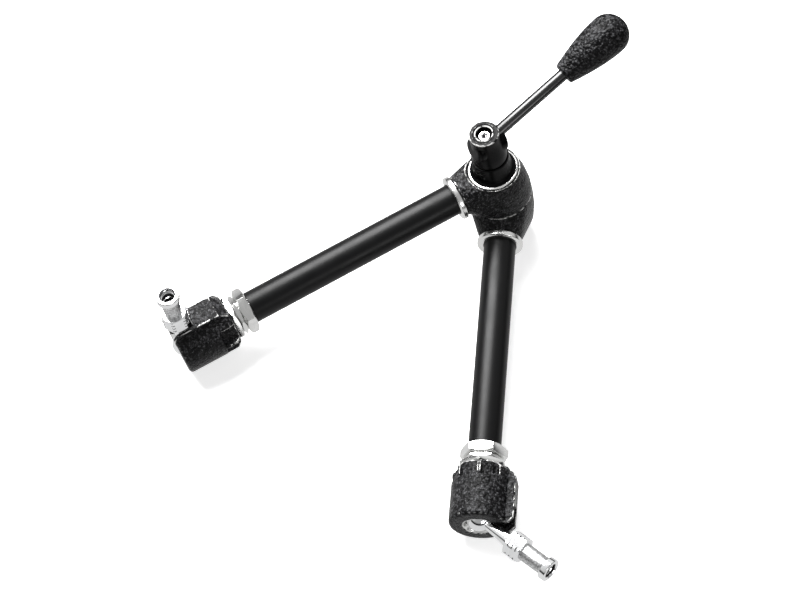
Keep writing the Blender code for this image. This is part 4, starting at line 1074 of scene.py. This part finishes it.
def build_studs():
    stud = bpy.context.scene.stud_sizes
    length, start, bore_end = stud.length, stud.hex_start, stud.length - stud.bore_depth
    hex_end, flange = start + stud.hex_length, length - stud.flange
    corner = stud.hex_across / math.sqrt(3)
    for side in SIDES:
        place, body = stud_frame(side), side + "_stud"
        top = math.degrees(math.acos(stud.neck / stud.ball))
        ball = [(0, -stud.ball)] + arc((0, 0), stud.ball, -90, top, 40)[1:]
        rest = rounded([
            ball[-1], (stud.neck_end - 1.2 * MM, start - 6 * MM, 3), (stud.neck_end, start, 0.3),
            (stud.neck_end, hex_end - 1 * MM), (stud.groove, hex_end - 1 * MM),
            (stud.groove, flange - 1.3 * MM, 0.5), (stud.spigot, flange, 0.4), (stud.spigot, length, 0.9),
            (stud.bore + 0.9 * MM, length, 0.2), (stud.bore + 0.35 * MM, length - 0.6 * MM, 0.1),
            (stud.bore + 0.35 * MM, bore_end), (0, bore_end - 2 * MM)], 5)[1:]
        steps, groove_shades = [join(chamfered_nut(stud.hex_across, start, hex_end))], []
        for i in range(stud.grooves):
            at = start + stud.hex_length * (i + 1) / (stud.grooves + 1)
            low, high = at - 0.4 * MM, at + 0.4 * MM
            steps.append(cut(turned([(corner - 0.7 * MM, low), (corner + 1 * MM, low),
                                     (corner + 1 * MM, high), (corner - 0.7 * MM, high)])))
            # A black ring in each groove is painted shade
            groove_shades.append(join(bore(corner - 0.45 * MM, at - 0.33 * MM, at + 0.33 * MM)))
        bar = softened(shaped(turned(ball + rest), *steps), STUD_BEVEL)
        piece(side + "_stud_bar", bar, place, body, "chrome", side + "_ball_stud")
        # Black rings fill the corner grooves as painted shade
        if groove_shades:
            prism = extruded(hexagon(stud.hex_across - 0.12 * MM), start, hex_end)
            fill = shaped(groove_shades[0][1], *groove_shades[1:], keep(prism))
            mark_without_wear_and_highlight(fill)
            piece(side + "_groove_painted_shade", fill, place, body, "lever_paint")
        # A dark lining in the threaded socket is painted shade under the thread's ridge
        wall = stud.bore + 0.3 * MM
        lining = turned([
            (0, bore_end - 1.2 * MM), (wall, bore_end + 0.1 * MM), (wall, length - 1 * MM),
            (stud.bore + 0.1 * MM, length - 1 * MM), (stud.bore + 0.1 * MM, bore_end + 0.4 * MM),
            (0, bore_end - 0.6 * MM)], 64)
        piece(side + "_threaded_socket_shade", lining, place, body, "recess_painted_shade")
        ridge = grown(thread_tree(), "chrome", Radius=wall, Pitch=stud.pitch,
                      Length=stud.bore_depth - 2.5 * MM, Ridge=0.6 * MM)
        piece(side + "_socket_thread", ridge, place @ raised(bore_end + 1 * MM), body, "chrome")


def dress_inner_pieces():
    finishes = {"spindle": "steel", "upper_wedge": "steel", "lower_wedge": "steel", "thrust_washer": "steel",
                "clamp_nut": "steel", "friction_disc": "lining"}
    for side in SIDES:
        finishes.update({side + "_push_rod": "steel", side + "_rod_guide": "guide",
                         side + "_ball_cup": "brass"})
    for name, finish in finishes.items():
        for slot in frame["nodes"][name].material_slots:
            slot.material = material(finish)


def build_floor():
    """A white floor. Polished metal shows it white near the object and dark farther out."""
    settings = bpy.context.scene.stage_settings
    shape = bmesh.new()
    bmesh.ops.create_circle(shape, segments=96, radius=4.0, cap_ends=True)
    floor = linked("floor", plain_mesh(shape))
    made, tree, shader, place = start_material("floor_paper", 0.0, Roughness=0.8, Emission_Color=WHITE)
    path = node(tree, "ShaderNodeLightPath").outputs
    distance = node(tree, "ShaderNodeVectorMath", {0: place}, operation="LENGTH").outputs["Value"]
    feed(tree, shader, {
        "Base Color": blend_colour(tree, path["Is Camera Ray"], (0.12, 0.12, 0.12), (0.9, 0.9, 0.9)),
        "Emission Strength": product(tree, path["Is Camera Ray"],
                                     ramp(tree, distance, 0.6, 1.6, settings.floor_glow, 1.0))})
    shown = ramp(tree, distance, 0.3, 0.55, settings.mirrored * 0.78, settings.mirrored_dark)
    mirrored = node(tree, "ShaderNodeEmission", {"Color": WHITE, "Strength": shown})
    mixed = mixed_shaders(tree, path["Is Glossy Ray"], shader, mirrored)
    feed(tree, tree.nodes["Material Output"], {"Surface": mixed.outputs[0]})
    floor.data.materials.append(made)


def build_sky():
    """A faint sky lights the arm. The camera sees white, and polished metal sees a studio."""
    settings = bpy.context.scene.stage_settings
    world = bpy.data.worlds.new("studio")
    bpy.context.scene.world = world
    world.use_nodes = True
    tree = world.node_tree
    tree.nodes.clear()
    path = node(tree, "ShaderNodeLightPath").outputs
    direction = node(tree, "ShaderNodeTexCoord").outputs["Generated"]
    part = node(tree, "ShaderNodeSeparateXYZ", {0: direction}).outputs
    behind = maths(tree, "SUBTRACT", part["Y"], product(tree, part["X"], 0.6))
    round_about = ramp(tree, behind, -0.4, 0.5, settings.mirrored_front, settings.mirrored)
    shown = product(tree, round_about, ramp(tree, part["Z"], 0.12, 0.36, settings.mirrored_dark, 1.0))
    sky, studio, white = [node(tree, "ShaderNodeBackground", {"Color": WHITE, "Strength": strength})
                          for strength in (settings.sky, shown, 1.0)]
    lit = mixed_shaders(tree, path["Is Glossy Ray"], sky, studio)
    seen = mixed_shaders(tree, path["Is Camera Ray"], lit, white)
    node(tree, "ShaderNodeOutputWorld", {"Surface": seen.outputs[0]})


def soft_light(name, place, width, length, power):
    """A rectangular light that shines at the middle of the floor."""
    light = bpy.data.lights.new(name, "AREA")
    light.shape = "RECTANGLE"
    light.size, light.size_y = width, length
    light.energy = power
    lamp = linked(name, light)
    lamp.location = place
    lamp.rotation_euler = (-Vector(place)).to_track_quat("-Z", "Y").to_euler()


def build_stage():
    scene = bpy.context.scene
    build_floor()
    soft_light("key", KEY_PLACE, 1.1, 1.0, scene.stage_settings.key)
    soft_light("fill", FILL_PLACE, 0.6, 0.5, scene.stage_settings.fill)
    build_sky()
    camera = bpy.data.cameras.new("camera")
    camera.lens = scene.stage_settings.lens
    camera.sensor_width = 36.0
    scene.camera = linked("camera", camera)
    scene.camera.location = CAMERA_PLACE
    scene.camera.rotation_euler = [math.radians(angle) for angle in CAMERA_TURN]
    scene.view_settings.view_transform = "Standard"


# Operators and panel

def operator(idname, label, text, work):
    """An operator class that builds one group of pieces."""
    def execute(self, context):
        work()
        return {"FINISHED"}
    return type("ARM_OT_" + idname, (bpy.types.Operator,), {
        "bl_idname": "friction_arm." + idname, "bl_label": label, "__doc__": text, "execute": execute})


OPERATORS = [
    operator("knuckles", "Knuckles", "Builds both elbow castings, their bosses and the base cap",
             build_knuckles),
    operator("lever", "Lever", "Builds the lever's hub, screw, rod and knob", build_lever),
    operator("tubes", "Tubes", "Builds both tubes and their collar rings", build_tubes),
    operator("fittings", "Fittings", "Builds the hexagons, nuts and lock rings at the tubes' ends",
             build_fittings),
    operator("housings", "Ball housings", "Builds both ball housings", build_housings),
    operator("studs", "Ball studs", "Builds both ball studs with their threaded sockets", build_studs),
    operator("inner", "Inner pieces", "Gives the pieces inside their finishes", dress_inner_pieces),
    operator("stage", "Stage", "Builds the floor, lights and camera", build_stage),
]


class ARM_PT_panel(bpy.types.Panel):
    """Lists the arm's building steps."""
    bl_idname = "ARM_PT_panel"
    bl_label = "Friction Arm"
    bl_space_type = "VIEW_3D"
    bl_region_type = "UI"
    bl_category = "Friction Arm"

    def draw(self, context):
        for step in OPERATORS:
            self.layout.operator(step.bl_idname)


GROUPS = {"elbow_sizes": ElbowSizes, "lever_sizes": LeverSizes, "tube_sizes": TubeSizes,
          "housing_sizes": HousingSizes, "stud_sizes": StudSizes, "arm_finishes": Finishes,
          "stage_settings": StageSettings}


def register():
    for item in list(GROUPS.values()) + OPERATORS + [ARM_PT_panel]:
        bpy.utils.register_class(item)
    for name, item in GROUPS.items():
        setattr(bpy.types.Scene, name, PointerProperty(type=item))


def unregister():
    for name in GROUPS:
        delattr(bpy.types.Scene, name)
    for item in [ARM_PT_panel] + OPERATORS[::-1] + list(GROUPS.values())[::-1]:
        bpy.utils.unregister_class(item)


def main():
    register()
    for step in OPERATORS:
        getattr(bpy.ops.friction_arm, step.bl_idname.split(".")[1])()


if __name__ == "__main__":
    main()
